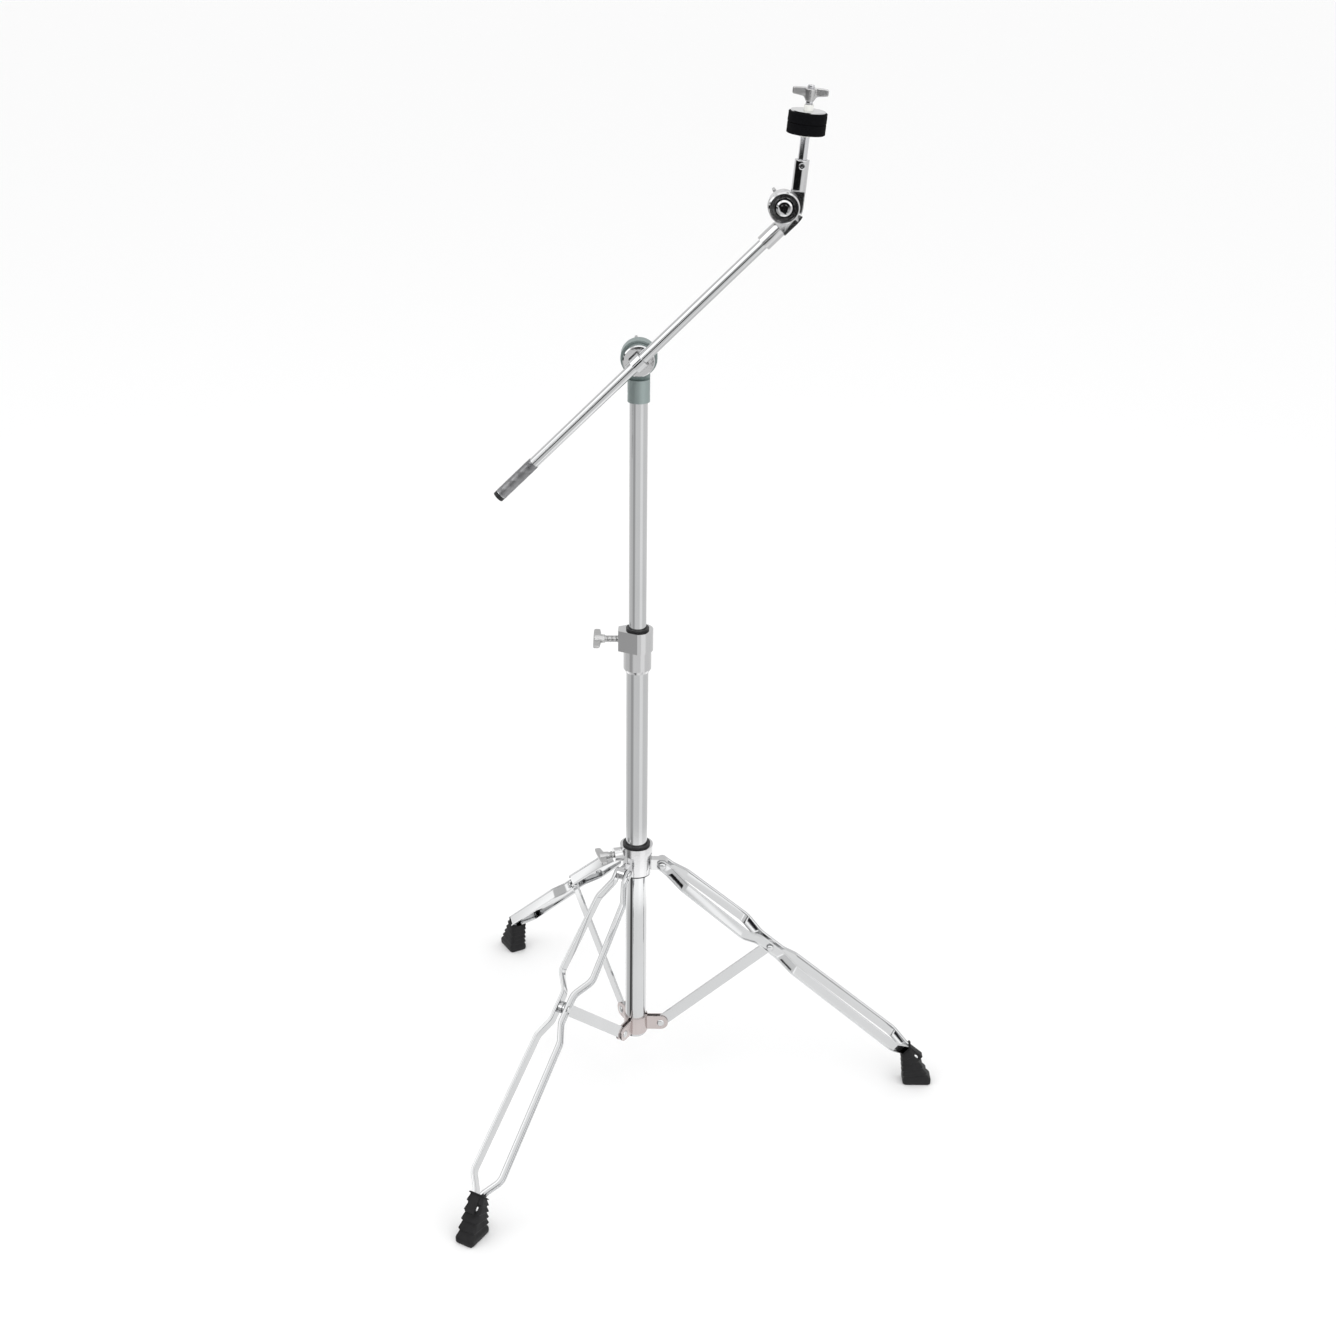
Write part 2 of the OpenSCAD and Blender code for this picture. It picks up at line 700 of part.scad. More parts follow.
// Front half of the cymbal tilter with the socket that the boom goes into
module boom_socket() {
    side = socket_r + arm_offset - cheek_inset;
    rim = 1.4;
    color(CHROME) on_tilter() difference() {
        union() {
            translate([0, 0, face]) cylinder(r = tilter_r, h = half_t - rim);
            translate([0, 0, face + half_t - rim - eps]) cylinder(r1 = tilter_r, r2 = tilter_r - rim, h = rim);
            intersection() {
                translate([0, 0, face]) cylinder(r = side, h = cheek_t - cheek_step);
                wedge(boom_slope - 90 - cheek_lap, cheek_meet);
            }
            rotate([0, 0, boom_slope + 180]) {
                translate([0, arm_offset - socket_r, face]) cube([arm_start + 1, 2 * socket_r, cheek_t]);
                translate([(arm_start + socket_reach) / 2, arm_offset, 0])
                    x_rod(socket_r, socket_reach - arm_start);
            }
        }
        cylinder(r = thread_r + snug, h = 60, center = true);
        translate([0, 0, face + half_t - 2]) cylinder(r = thread_r + 6, h = 10);
        translate([0, 0, face + half_t - dish]) pipe(tilter_r - rim - rim_w / 2, thread_r + 6 + rim_w / 2, 10);
        rotate([0, 0, boom_slope + 180]) {
            translate([socket_reach - 20.4 / 2, arm_offset, 0]) x_rod(boom_r + snug, 20.4 + eps);
            translate([socket_reach - 10, arm_offset, 0]) rotate([90, 0, 0])
                cylinder(r = 1.5 + snug, h = 40, center = true);
        }
    }
}

module socket_pin() {
    color(CHROME) on_boom() translate([boom_above + 10, 0, 0])
        cylinder(r = 1.5, h = 2 * socket_r - 0.4, center = true);
}

module tilter_bolt() {
    seat = face + half_t - 2;
    color(CHROME) on_tilter() {
        translate([0, 0, seat + snug]) cylinder(r = thread_r + 4.5, h = 1.6);
        translate([0, 0, seat + 1.6]) cylinder(r1 = thread_r + 4.5, r2 = thread_r + 2.6, h = 1.2);
        translate([0, 0, seat + 2.8 - eps]) cylinder(r = thread_r - 0.1, h = 1.2);
        translate([0, 0, -face - half_t - 18]) cylinder(r = thread_r, h = seat + face + half_t + 18.1);
    }
}

module tilter_washer() {
    color(CHROME) on_tilter() translate([0, 0, -face - half_t - gap - washer_t])
        pipe(thread_r + 4.5, thread_r + run, washer_t);
}

module tilter_wing_nut() {
    color(CHROME) on_tilter() translate([0, 0, -face - half_t - 2 * gap - washer_t])
        rotate([0, 180, 0]) rotate([0, 0, 54]) wing_nut_shape();
}

// ---- post ----

// Rear half of the cymbal tilter with the arm that holds the post
module tilter_arm() {
    side = arm_r + arm_offset - cheek_inset;
    color(CHROME) difference() {
        union() {
            on_tilter() {
                translate([0, 0, -face - half_t]) cylinder(r = tilter_r + 0.4, h = half_t);
                intersection() {
                    translate([0, 0, -face - cheek_t + cheek_step]) cylinder(r = side, h = cheek_t - cheek_step);
                    wedge(cheek_meet, cheek_lap - post_lean);
                }
            }
            on_post() {
                translate([-arm_r, face, 0]) cube([2 * arm_r, cheek_t, arm_start + 1]);
                translate([0, 0, arm_start]) cylinder(r = arm_r, h = arm_top - arm_start);
            }
        }
        on_tilter() cylinder(r = thread_r + run, h = 80, center = true);
        on_post() translate([0, 0, 29.5]) cylinder(r = shank_r + snug, h = 40);
        on_post() translate([0, 0, arm_top - 6]) rotate([90, 0, 0]) cylinder(r = 2.5 + snug, h = 20);
    }
}

// Headless screw that holds the post in the arm
module post_screw() {
    color(CHROME) on_post() translate([0, -shank_r - 2 * snug, arm_top - 6]) rotate([90, 0, 0]) difference() {
        cylinder(r = 2.5, h = arm_r - shank_r - 0.5);
        translate([0, 0, 1.2]) cylinder(r = 1.25, h = 10, $fn = 6);
    }
}

module cymbal_post() {
    tip = 1;
    color(CHROME) on_post() {
        translate([0, 0, 29.6]) cylinder(r = shank_r, h = shoulder - 29.6);
        translate([0, 0, shoulder - eps]) cylinder(r = post_r, h = post_top_len - tip + eps);
        translate([0, 0, post_tip - tip - eps]) cylinder(r1 = post_r, r2 = post_r - tip, h = tip);
    }
}

// Nylon sleeve and its flange, which keep the cymbal off the post
module cymbal_sleeve() {
    base = shoulder + 0.1;
    color(NATURAL) on_post() difference() {
        union() {
            translate([0, 0, base]) cylinder(r = sleeve_out + 2.1, h = seat_h);
            translate([0, 0, base]) cylinder(r = sleeve_out, h = sleeve_top - base);
        }
        translate([0, 0, base - 1]) cylinder(r = sleeve_in, h = 60 + felt_h);
    }
}

module lower_felt() {
    color(BLACK) on_post() translate([0, 0, felt_z]) pipe(felt_d / 2, sleeve_out + 0.1, felt_h);
}

module upper_felt() {
    color(BLACK) on_post() translate([0, 0, upper_felt_z]) pipe(felt_d / 2, sleeve_out + 0.3, felt_h);
}

module felt_washer() {
    color(CHROME) on_post() translate([0, 0, washer_z]) pipe(felt_d / 2 - 2, sleeve_out + 0.3, washer_h);
}

module top_wing_nut() { color(CHROME) on_post() translate([0, 0, nut_z]) wing_nut_shape(); }

// ---- the pieces ----

lower_tube();
bracket_plate(0);  // bracket_plate_1
bracket_plate(120);  // bracket_plate_2
bracket_plate(240);  // bracket_plate_3
stay_pivot_rivets();
clamp_casting();
clamp_bush();
height_wing_bolt();
hub_casting();
hub_bush();
leg_pivot_rivets();
hub_wing_bolt();
leg_strip(leg_az[0], 1);  // right_leg_strip_1
leg_strip(leg_az[0], -1);  // right_leg_strip_2
mid_rivet(leg_az[0]);  // right_mid_rivet
end_rivet(leg_az[0]);  // right_end_rivet
foot(leg_az[0]);  // right_foot
leg_strip(leg_az[1], 1);  // rear_leg_strip_1
leg_strip(leg_az[1], -1);  // rear_leg_strip_2
mid_rivet(leg_az[1]);  // rear_mid_rivet
end_rivet(leg_az[1]);  // rear_end_rivet
foot(leg_az[1]);  // rear_foot
leg_strip(leg_az[2], 1);  // front_leg_strip_1
leg_strip(leg_az[2], -1);  // front_leg_strip_2
mid_rivet(leg_az[2]);  // front_mid_rivet
end_rivet(leg_az[2]);  // front_end_rivet
foot(leg_az[2]);  // front_foot
stay(leg_az[0]);  // right_stay
stay_bush(leg_az[0]);  // right_stay_bush
stay(leg_az[1]);  // rear_stay
stay_bush(leg_az[1]);  // rear_stay_bush
stay(leg_az[2]);  // front_stay
stay_bush(leg_az[2]);  // front_stay_bush
upper_tube_plug();
upper_tube();
tilter_base();
neck_pin();
boom_saddle();
eye_bolt();
boom_washer();
boom_wing_nut();
boom_end_cap();
boom_tube();
boom_socket();
socket_pin();
tilter_bolt();
tilter_washer();
tilter_wing_nut();
tilter_arm();
post_screw();
cymbal_post();
cymbal_sleeve();
lower_felt();
upper_felt();
felt_washer();
top_wing_nut();
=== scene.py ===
import json
import math

import bmesh
import bpy
from mathutils import Matrix, Vector, noise


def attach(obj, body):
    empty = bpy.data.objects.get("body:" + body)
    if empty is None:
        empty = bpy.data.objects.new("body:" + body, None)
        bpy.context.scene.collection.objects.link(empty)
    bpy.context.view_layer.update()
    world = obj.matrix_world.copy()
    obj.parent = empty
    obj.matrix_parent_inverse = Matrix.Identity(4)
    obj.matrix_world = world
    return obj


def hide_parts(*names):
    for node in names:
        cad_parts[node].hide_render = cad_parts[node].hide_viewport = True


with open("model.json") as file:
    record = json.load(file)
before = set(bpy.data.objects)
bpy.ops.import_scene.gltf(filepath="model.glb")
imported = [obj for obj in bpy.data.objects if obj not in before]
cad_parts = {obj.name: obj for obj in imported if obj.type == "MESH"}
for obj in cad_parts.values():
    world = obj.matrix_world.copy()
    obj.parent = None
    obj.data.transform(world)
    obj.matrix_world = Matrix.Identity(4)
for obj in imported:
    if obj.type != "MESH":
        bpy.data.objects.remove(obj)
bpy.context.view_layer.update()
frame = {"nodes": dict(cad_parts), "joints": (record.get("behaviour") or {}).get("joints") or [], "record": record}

bl_info = {
    "name": "Cymbal boom stand",
    "version": (1, 0, 0),
    "blender": (4, 5, 0),
    "location": "View3D > Sidebar > Stand",
    "description": "Dresses the packed cymbal boom stand with its finished pieces, materials and stage",
    "category": "Add Mesh",
}

JOINTS = {joint["name"]: joint for joint in frame["joints"]}
SIDES = ("right", "rear", "front")

MERGE = 2e-6  # vertices of a CAD mesh closer than this are one
CASTING_GRAIN = 0.0004  # cell size that runs a casting's parts together
AXIS = 0.0001  # how near the outline of a turned piece comes to its axis
FLOOR_HALF = 30  # half the side of the stage's floors
MIRROR_GLOW = 1.65  # strength of the floor that only reflections see


# ---- sizes and colours ----


def length(name, millimetres, about):
    """A length property in the scene's units."""
    return bpy.props.FloatProperty(
        name=name, description=about, default=millimetres / 1000, unit="LENGTH", precision=5
    )


def slope(name, degrees, about):
    """An angle property, kept in radians, that Blender shows in degrees."""
    return bpy.props.FloatProperty(
        name=name, description=about, default=math.radians(degrees), subtype="ANGLE"
    )


def colour(name, value, about):
    """A base colour."""
    return bpy.props.FloatVectorProperty(
        name=name, description=about, default=value, size=3, min=0, max=1, subtype="COLOR"
    )


def share(name, value, about):
    """A plain number such as a roughness."""
    return bpy.props.FloatProperty(name=name, description=about, default=value, min=0)


def count(name, value, about):
    """How many of something there are."""
    return bpy.props.IntProperty(name=name, description=about, default=value, min=1)


class StandLegSizes(bpy.types.PropertyGroup):
    """Sizes of the legs and feet."""

    leg_slope: slope("Leg slope", 40.4, "Slope of the legs below horizontal")
    leg_span: length("Leg span", 174.2, "Upper pivot to middle pivot")
    leg_length: length("Leg length", 404, "Upper pivot to the mouth of the foot")
    strip_height: length("Strip height", 13.3, "Height of a strip, edge to edge")
    strip_depth: length("Strip depth", 3.6, "Depth of the rolled channel")
    strip_sheet: length("Strip sheet", 1.6, "Sheet thickness of a strip")
    gap_hub: length("Gap at the hub", 7, "Half of the distance between the strips at the hub")
    gap_middle: length("Gap at the middle", 6.2, "The same at the middle pivot")
    gap_foot: length("Gap in the foot", 3.5, "The same inside the foot")
    upper_in: length("Upper spread, start", 17, "Half spread where the upper stretch opens")
    upper_out: length("Upper spread, end", 21, "Half spread where the upper stretch ends")
    lower_in: length("Lower spread, start", 15.5, "Half spread where the lower stretch opens")
    lower_out: length("Lower spread, end", 18.5, "Half spread where the lower stretch ends")
    tail: length("Strip tail", 22, "Length of strip inside the foot")
    bend: length("Bend radius", 17, "Radius of the bends in a strip")
    foot_height: length("Mouth height", 48, "Height of the foot's mouth on the leg's centre line")
    foot_width: length("Foot width", 24, "Width of a foot at its sole")
    foot_neck: length("Neck width", 21.4, "Width of a foot at its mouth")
    foot_sole: length("Sole length", 35.5, "Length of a foot's sole")
    mouth_half: length("Mouth half height", 9, "Half height of the foot's mouth across the leg")
    rib_depth: length("Rib depth", 1.7, "Depth of the saw-tooth ribs")
    ribs: count("Ribs", 5, "Ribs on a foot")


class StandHardwareSizes(bpy.types.PropertyGroup):
    """Sizes of the wing nuts, threads, teeth and grips."""

    wing_span: length("Wing span", 37.5, "Span across the wings")
    wing_height: length("Wing height", 13.4, "Height of a wing nut")
    wing_thick: length("Wing thickness", 4.6, "Thickness of a wing near its hub")
    wing_hub: length("Wing hub", 5.6, "Radius of a wing nut's hub")
    thread_radius: length("Thread radius", 4, "Outside radius of the wing nuts' thread")
    pitch: length("Thread pitch", 1.25, "Distance between the thread's crests")
    post_pitch: length("Post pitch", 1.25, "Pitch of the post's thread")
    knurl_count: count("Knurl ridges", 26, "Ridges each way round the boom's grip")
    knurl_length: length("Knurl length", 52, "Length of the knurled grip")
    knurl_radius: length("Knurl radius", 6.4, "Outside radius of the knurled grip")
    teeth: count("Teeth", 48, "Teeth round each tilter face")
    rivet_head: length("Rivet head", 4.7, "Radius of a pivot rivet's head")
    rivet_dome: length("Rivet dome", 1.9, "Height of a pivot rivet's head")
    felt_round: length("Felt edge", 1.1, "Rounding of the felts' edges")
    felt_fuzz: length("Felt unevenness", 0.22, "How far the felt's surface wanders")


class StandColours(bpy.types.PropertyGroup):
    """Colours and roughnesses of the finishes."""

    chrome: colour("Chrome", (0.60, 0.605, 0.61), "Chromed tube and strip")
    chrome_rough: share("Chrome roughness", 0.055, "Mean roughness of the chrome")
    cast: colour("Cast chrome", (0.62, 0.62, 0.625), "Chromed castings")
    satin: colour("Satin casting", (0.52, 0.52, 0.52), "Wing nuts and wing bolts")
    cast_rough: share("Casting roughness", 0.10, "Mean roughness of the chromed castings")
    nickel: colour("Nickel", (0.60, 0.54, 0.53), "Stamped bracket plates")
    zinc: colour("Zinc", (0.40, 0.47, 0.46), "Boom tilter's neck")
    steel: colour("Steel", (0.66, 0.66, 0.68), "Post and its thread")
    grip: colour("Grip", (0.34, 0.34, 0.35), "Knurled grip")
    black_nylon: colour("Black nylon", (0.007, 0.007, 0.008), "Bushes and caps")
    natural_nylon: colour("Natural nylon", (0.86, 0.86, 0.82), "Post's sleeve")
    rubber: colour("Rubber", (0.006, 0.006, 0.0065), "Feet")
    felt: colour("Felt", (0.0025, 0.0025, 0.003), "Felts")


class StandStage(bpy.types.PropertyGroup):
    """Camera, floor and light."""

    distance: length("Camera distance", 2100, "Camera in front of the column")
    height: length("Camera height", 1503, "Camera above the floor")
    sideways: length("Camera sideways", 35.2, "Camera to the right of the column")
    pitch: slope("Camera pitch", 24.03, "How far the camera looks down")
    roll: slope("Camera roll", 0.68, "How far the camera is rolled")
    lens: bpy.props.FloatProperty(
        name="Lens", description="Focal length on a 36 mm sensor", default=53.87, unit="CAMERA"
    )
    floor: colour("Floor", (0.93, 0.93, 0.93), "The floor")
    world: share("World light", 1.75, "Strength of the soft light from all round")
    overhead: share("Overhead light", 14.0, "Power of the soft light above")


# ---- places ----


def pivot(joint):
    """Where a joint's pivot is at rest."""
    return Vector(JOINTS[joint]["pos_m"])


def axis_of(joint):
    """A joint's axis at rest."""
    return Vector(JOINTS[joint]["axis"]).normalized()


def reach(node, origin, along):
    """A CAD node's nearest and farthest points along an axis."""
    far = [(vertex.co - origin).dot(along) for vertex in frame["nodes"][node].data.vertices]
    return min(far), max(far)


def stand_up(origin, along, across):
    """Matrix whose z lies along an axis and whose x is as near as it can be to across."""
    z = along.normalized()
    x = (across - z * across.dot(z)).normalized()
    y = z.cross(x)
    return Matrix.Translation(origin) @ Matrix((x, y, z)).transposed().to_4x4()


def widest(node, origin, along):
    """The direction, square to an axis, in which a CAD node reaches farthest."""
    arms = []
    for vertex in frame["nodes"][node].data.vertices:
        away = vertex.co - origin
        arms.append(away - along * away.dot(along))
    arms.sort(key=lambda arm: arm.length, reverse=True)
    first = arms[0]
    far = [arm for arm in arms if arm.length > first.length * 0.93]
    return sum((arm if arm.dot(first) > 0 else -arm for arm in far), Vector()).normalized()


def leg_place(side, leg_slope):
    """Frame of a leg: x runs down it, y is sideways, z is off its upper edge."""
    at = pivot(side + "_leg_hinge")
    heading = math.atan2(at.y, at.x)
    return (
        Matrix.Translation(at)
        @ Matrix.Rotation(heading, 4, "Z")
        @ Matrix.Rotation(leg_slope, 4, "Y")
    )


# ---- meshes ----


def new_object(name, mesh):
    """Links a mesh to the scene as an object at the origin."""
    thing = bpy.data.objects.new(name, mesh)
    bpy.context.scene.collection.objects.link(thing)
    return thing


def from_bmesh(name, bm):
    """Turns a bmesh into an object."""
    mesh = bpy.data.meshes.new(name)
    bm.to_mesh(mesh)
    bm.free()
    return new_object(name, mesh)


def shade(mesh, degrees=32):
    """Smooth shading that keeps edges sharper than an angle."""
    mesh.shade_smooth()
    mesh.set_sharp_from_angle(angle=math.radians(degrees))


def one_casting(thing, passes):
    """Runs an object's parts together into one casting with soft edges."""
    cast = thing.modifiers.new("One casting", "REMESH")
    cast.mode = "VOXEL"
    cast.voxel_size = CASTING_GRAIN
    cast.use_smooth_shade = True
    soft = thing.modifiers.new("Soft edges", "CORRECTIVE_SMOOTH")
    soft.factor = 0.5
    soft.iterations = passes
    soft.smooth_type = "LENGTH_WEIGHTED"
    soft.use_only_smooth = True
    bake(thing)
    thing.data.shade_smooth()
    return thing


def bake(thing):
    """Applies an object's modifiers to its mesh."""
    bpy.context.view_layer.update()
    made = thing.evaluated_get(bpy.context.evaluated_depsgraph_get())
    mesh = bpy.data.meshes.new_from_object(made)
    thing.modifiers.clear()
    old = thing.data
    thing.data = mesh
    mesh.name = thing.name
    bpy.data.meshes.remove(old)
    return thing


def join(name, things):
    """Joins objects into one mesh."""
    bm = bmesh.new()
    for thing in things:
        bm.from_mesh(thing.data)
        old = thing.data
        bpy.data.objects.remove(thing)
        bpy.data.meshes.remove(old)
    return from_bmesh(name, bm)


def outwards(thing):
    """Turns every closed shell's faces outwards."""
    bm = bmesh.new()
    bm.from_mesh(thing.data)
    bmesh.ops.recalc_face_normals(bm, faces=bm.faces)
    bm.to_mesh(thing.data)
    bm.free()
    return thing


def rounded(points, radii, steps=4):
    """A closed outline with its corners rounded."""
    out = []
    n = len(points)
    for i, point in enumerate(points):
        radius = radii[i] if isinstance(radii, (list, tuple)) else radii
        corner = Vector(point)
        before = Vector(points[i - 1]) - corner
        after = Vector(points[(i + 1) % n]) - corner
        cut = min(radius, before.length * 0.49, after.length * 0.49)
        if cut < 1e-6:
            out.append(corner)
            continue
        a, b = corner + before.normalized() * cut, corner + after.normalized() * cut
        for k in range(steps + 1):
            t = k / steps
            out.append(a * (1 - t) ** 2 + corner * 2 * t * (1 - t) + b * t * t)
    return out


def loft(rings):
    """A closed skin over rings of the same number of points."""
    bm = bmesh.new()
    rows = [[bm.verts.new(p) for p in ring] for ring in rings]
    n = len(rows[0])
    for low, high in zip(rows, rows[1:]):
        for i in range(n):
            j = (i + 1) % n
            bm.faces.new((low[i], low[j], high[j], high[i]))
    bm.faces.new(list(reversed(rows[0])))
    bm.faces.new(rows[-1])
    bmesh.ops.recalc_face_normals(bm, faces=bm.faces)
    return bm


def lathe(profile, steps=96):
    """A ring-shaped solid turned from a closed outline of (radius, height) points."""
    bm = bmesh.new()
    rows = []
    for k in range(steps):
        a = 2 * math.pi * k / steps
        rows.append([bm.verts.new((r * math.cos(a), r * math.sin(a), z)) for r, z in profile])
    n = len(profile)
    for k in range(steps):
        now, then = rows[k], rows[(k + 1) % steps]
        for i in range(n):
            j = (i + 1) % n
            bm.faces.new((now[i], then[i], then[j], now[j]))
    bmesh.ops.remove_doubles(bm, verts=bm.verts, dist=1e-7)
    bmesh.ops.recalc_face_normals(bm, faces=bm.faces)
    return bm


def merged_copy(node):
    """A CAD node's own shape with its loose triangles merged."""
    bm = bmesh.new()
    bm.from_mesh(frame["nodes"][node].data)
    bmesh.ops.remove_doubles(bm, verts=bm.verts, dist=MERGE)
    return bm


def softened(node, width, segments=2, angle=28):
    """A CAD node's own shape with its edges eased, as a new object."""
    bm = merged_copy(node)
    bmesh.ops.dissolve_limit(
        bm, angle_limit=math.radians(0.4), verts=bm.verts, edges=bm.edges, delimit={"NORMAL"}
    )
    thing = from_bmesh(node + "_finish", bm)
    shade(thing.data, angle)
    ease = thing.modifiers.new("Eased edges", "BEVEL")
    ease.width = width
    ease.segments = segments
    ease.limit_method = "ANGLE"
    ease.angle_limit = math.radians(angle)
    ease.use_clamp_overlap = True
    ease.harden_normals = True
    bake(thing)
    return thing


# ---- node trees that repeat or sweep ----


def add(tree, kind, links=None, **settings):
    """Adds a node, and links or sets its inputs."""
    made = tree.nodes.new(kind)
    for key, value in settings.items():
        setattr(made, key, value)
    for key, value in (links or {}).items():
        socket = made.inputs[key]
        if isinstance(value, bpy.types.NodeSocket):
            tree.links.new(value, socket)
        else:
            socket.default_value = value
    return made


def maths(tree, operation, *values):
    """The result of a maths node."""
    return add(tree, "ShaderNodeMath", dict(enumerate(values)), operation=operation).outputs[0]


def new_tree(name, inputs):
    """A geometry tree with named inputs and one geometry output."""
    tree = bpy.data.node_groups.new(name, "GeometryNodeTree")
    tree.interface.new_socket("Geometry", in_out="INPUT", socket_type="NodeSocketGeometry")
    for label, kind in inputs:
        tree.interface.new_socket(label, in_out="INPUT", socket_type=kind)
    tree.interface.new_socket("Geometry", in_out="OUTPUT", socket_type="NodeSocketGeometry")
    return tree, tree.nodes.new("NodeGroupInput").outputs


def end_tree(tree, geometry, material):
    """Ends a tree in Realize Instances and Set Material."""
    real = add(tree, "GeometryNodeRealizeInstances", {"Geometry": geometry})
    painted = add(
        tree, "GeometryNodeSetMaterial", {"Geometry": real.outputs[0], "Material": material}
    )
    tree.links.new(painted.outputs[0], tree.nodes.new("NodeGroupOutput").inputs[0])
    return tree


def sweep_tree():
    """Sweeps the loop flagged as the section along the open path in the same mesh."""
    tree, source = new_tree(
        "Swept strip", [("Bend radius", "NodeSocketFloat"), ("Material", "NodeSocketMaterial")]
    )
    flag = add(
        tree, "GeometryNodeInputNamedAttribute", {"Name": "section"}, data_type="BOOLEAN"
    )
    parts = add(
        tree,
        "GeometryNodeSeparateGeometry",
        {"Geometry": source["Geometry"], "Selection": flag.outputs["Attribute"]},
        domain="POINT",
    )
    section = add(tree, "GeometryNodeMeshToCurve", {"Mesh": parts.outputs["Selection"]})
    path = add(tree, "GeometryNodeMeshToCurve", {"Mesh": parts.outputs["Inverted"]})
    eased = add(
        tree,
        "GeometryNodeFilletCurve",
        {"Curve": path.outputs[0], "Radius": source["Bend radius"]},
    )
    for socket in eased.inputs:
        if socket.name == "Count":
            socket.default_value = 7
        if socket.name == "Limit Radius":
            socket.default_value = True
    if hasattr(eased, "mode"):
        eased.mode = "POLY"
    upright = add(tree, "GeometryNodeSetCurveNormal", {"Curve": eased.outputs[0]})
    if hasattr(upright, "mode"):
        upright.mode = "Z_UP"
    swept = add(
        tree,
        "GeometryNodeCurveToMesh",
        {"Curve": upright.outputs[0], "Profile Curve": section.outputs[0], "Fill Caps": True},
    )
    return end_tree(tree, swept.outputs[0], source["Material"])


def helix_tree():
    """One ridge wound round the z axis."""
    tree, source = new_tree(
        "Wound ridge",
        [
            ("Radius", "NodeSocketFloat"),
            ("Height", "NodeSocketFloat"),
            ("Turns", "NodeSocketFloat"),
            ("Ridge", "NodeSocketFloat"),
            ("Steps", "NodeSocketInt"),
            ("Left hand", "NodeSocketBool"),
            ("Material", "NodeSocketMaterial"),
        ],
    )
    wound = add(
        tree,
        "GeometryNodeCurveSpiral",
        {
            "Resolution": source["Steps"],
            "Rotations": source["Turns"],
            "Start Radius": source["Radius"],
            "End Radius": source["Radius"],
            "Height": source["Height"],
            "Reverse": source["Left hand"],
        },
    )
    section = add(
        tree, "GeometryNodeCurvePrimitiveCircle", {"Resolution": 4, "Radius": source["Ridge"]}
    )
    swept = add(
        tree,
        "GeometryNodeCurveToMesh",
        {
            "Curve": wound.outputs[0],
            "Profile Curve": section.outputs[0],
            "Fill Caps": True,
        },
    )
    return end_tree(tree, swept.outputs[0], source["Material"])


def ring_tree():
    """Repeats a mesh round the z axis."""
    tree, source = new_tree(
        "Repeated round", [("Count", "NodeSocketInt"), ("Material", "NodeSocketMaterial")]
    )
    spots = add(
        tree,
        "GeometryNodeMeshLine",
        {"Count": source["Count"], "Offset": (0, 0, 0)},
        mode="OFFSET",
    )
    number = add(tree, "GeometryNodeInputIndex")
    step = maths(tree, "DIVIDE", 2 * math.pi, source["Count"])
    angle = maths(tree, "MULTIPLY", number.outputs[0], step)
    turn = add(tree, "ShaderNodeCombineXYZ", {"Z": angle})
    rotation = add(tree, "FunctionNodeEulerToRotation", {0: turn.outputs[0]})
    copies = add(
        tree,
        "GeometryNodeInstanceOnPoints",
        {
            "Points": spots.outputs[0],
            "Instance": source["Geometry"],
            "Rotation": rotation.outputs[0],
        },
    )
    return end_tree(tree, copies.outputs[0], source["Material"])


def rivet_tree():
    """Puts a domed head on each point, facing the way its aim attribute points."""
    tree, source = new_tree(
        "Rivet heads",
        [
            ("Head radius", "NodeSocketFloat"),
            ("Dome height", "NodeSocketFloat"),
            ("Material", "NodeSocketMaterial"),
        ],
    )
    aim = add(
        tree, "GeometryNodeInputNamedAttribute", {"Name": "aim"}, data_type="FLOAT_VECTOR"
    )
    facing = add(
        tree,
        "FunctionNodeAlignRotationToVector",
        {"Vector": aim.outputs["Attribute"]},
        axis="Z",
    )
    ball = add(
        tree, "GeometryNodeMeshUVSphere", {"Segments": 28, "Rings": 14, "Radius": 1.0}
    )
    size = add(
        tree,
        "ShaderNodeCombineXYZ",
        {
            "X": source["Head radius"],
            "Y": source["Head radius"],
            "Z": source["Dome height"],
        },
    )
    dome = add(
        tree, "GeometryNodeTransform", {"Geometry": ball.outputs[0], "Scale": size.outputs[0]}
    )
    smooth = add(tree, "GeometryNodeSetShadeSmooth", {"Geometry": dome.outputs[0]})
    heads = add(
        tree,
        "GeometryNodeInstanceOnPoints",
        {
            "Points": source["Geometry"],
            "Instance": smooth.outputs[0],
            "Rotation": facing.outputs[0],
        },
    )
    return end_tree(tree, heads.outputs[0], source["Material"])


def grow(thing, tree, values):
    """Runs a tree on an object and keeps the result as its plain mesh."""
    run = thing.modifiers.new(tree.name, "NODES")
    run.node_group = tree
    sockets = {
        item.name: item.identifier
        for item in tree.interface.items_tree
        if item.item_type == "SOCKET" and item.in_out == "INPUT"
    }
    for label, value in values.items():
        run[sockets[label]] = value
    return bake(thing)


def tree_of(builder):
    """A node tree, built the first time that it is asked for."""
    name = builder.__name__
    if name not in TREES:
        TREES[name] = builder()
    return TREES[name]


TREES = {}


# ---- finishes ----


def finish_tree(name):
    """A new material with a surface shader, and its object coordinates."""
    material = bpy.data.materials.new(name)
    material.use_nodes = True
    tree = material.node_tree
    tree.nodes.clear()
    shader = tree.nodes.new("ShaderNodeBsdfPrincipled")
    output = tree.nodes.new("ShaderNodeOutputMaterial")
    tree.links.new(shader.outputs[0], output.inputs[0])
    where = tree.nodes.new("ShaderNodeTexCoord").outputs["Object"]
    return material, tree, shader, where


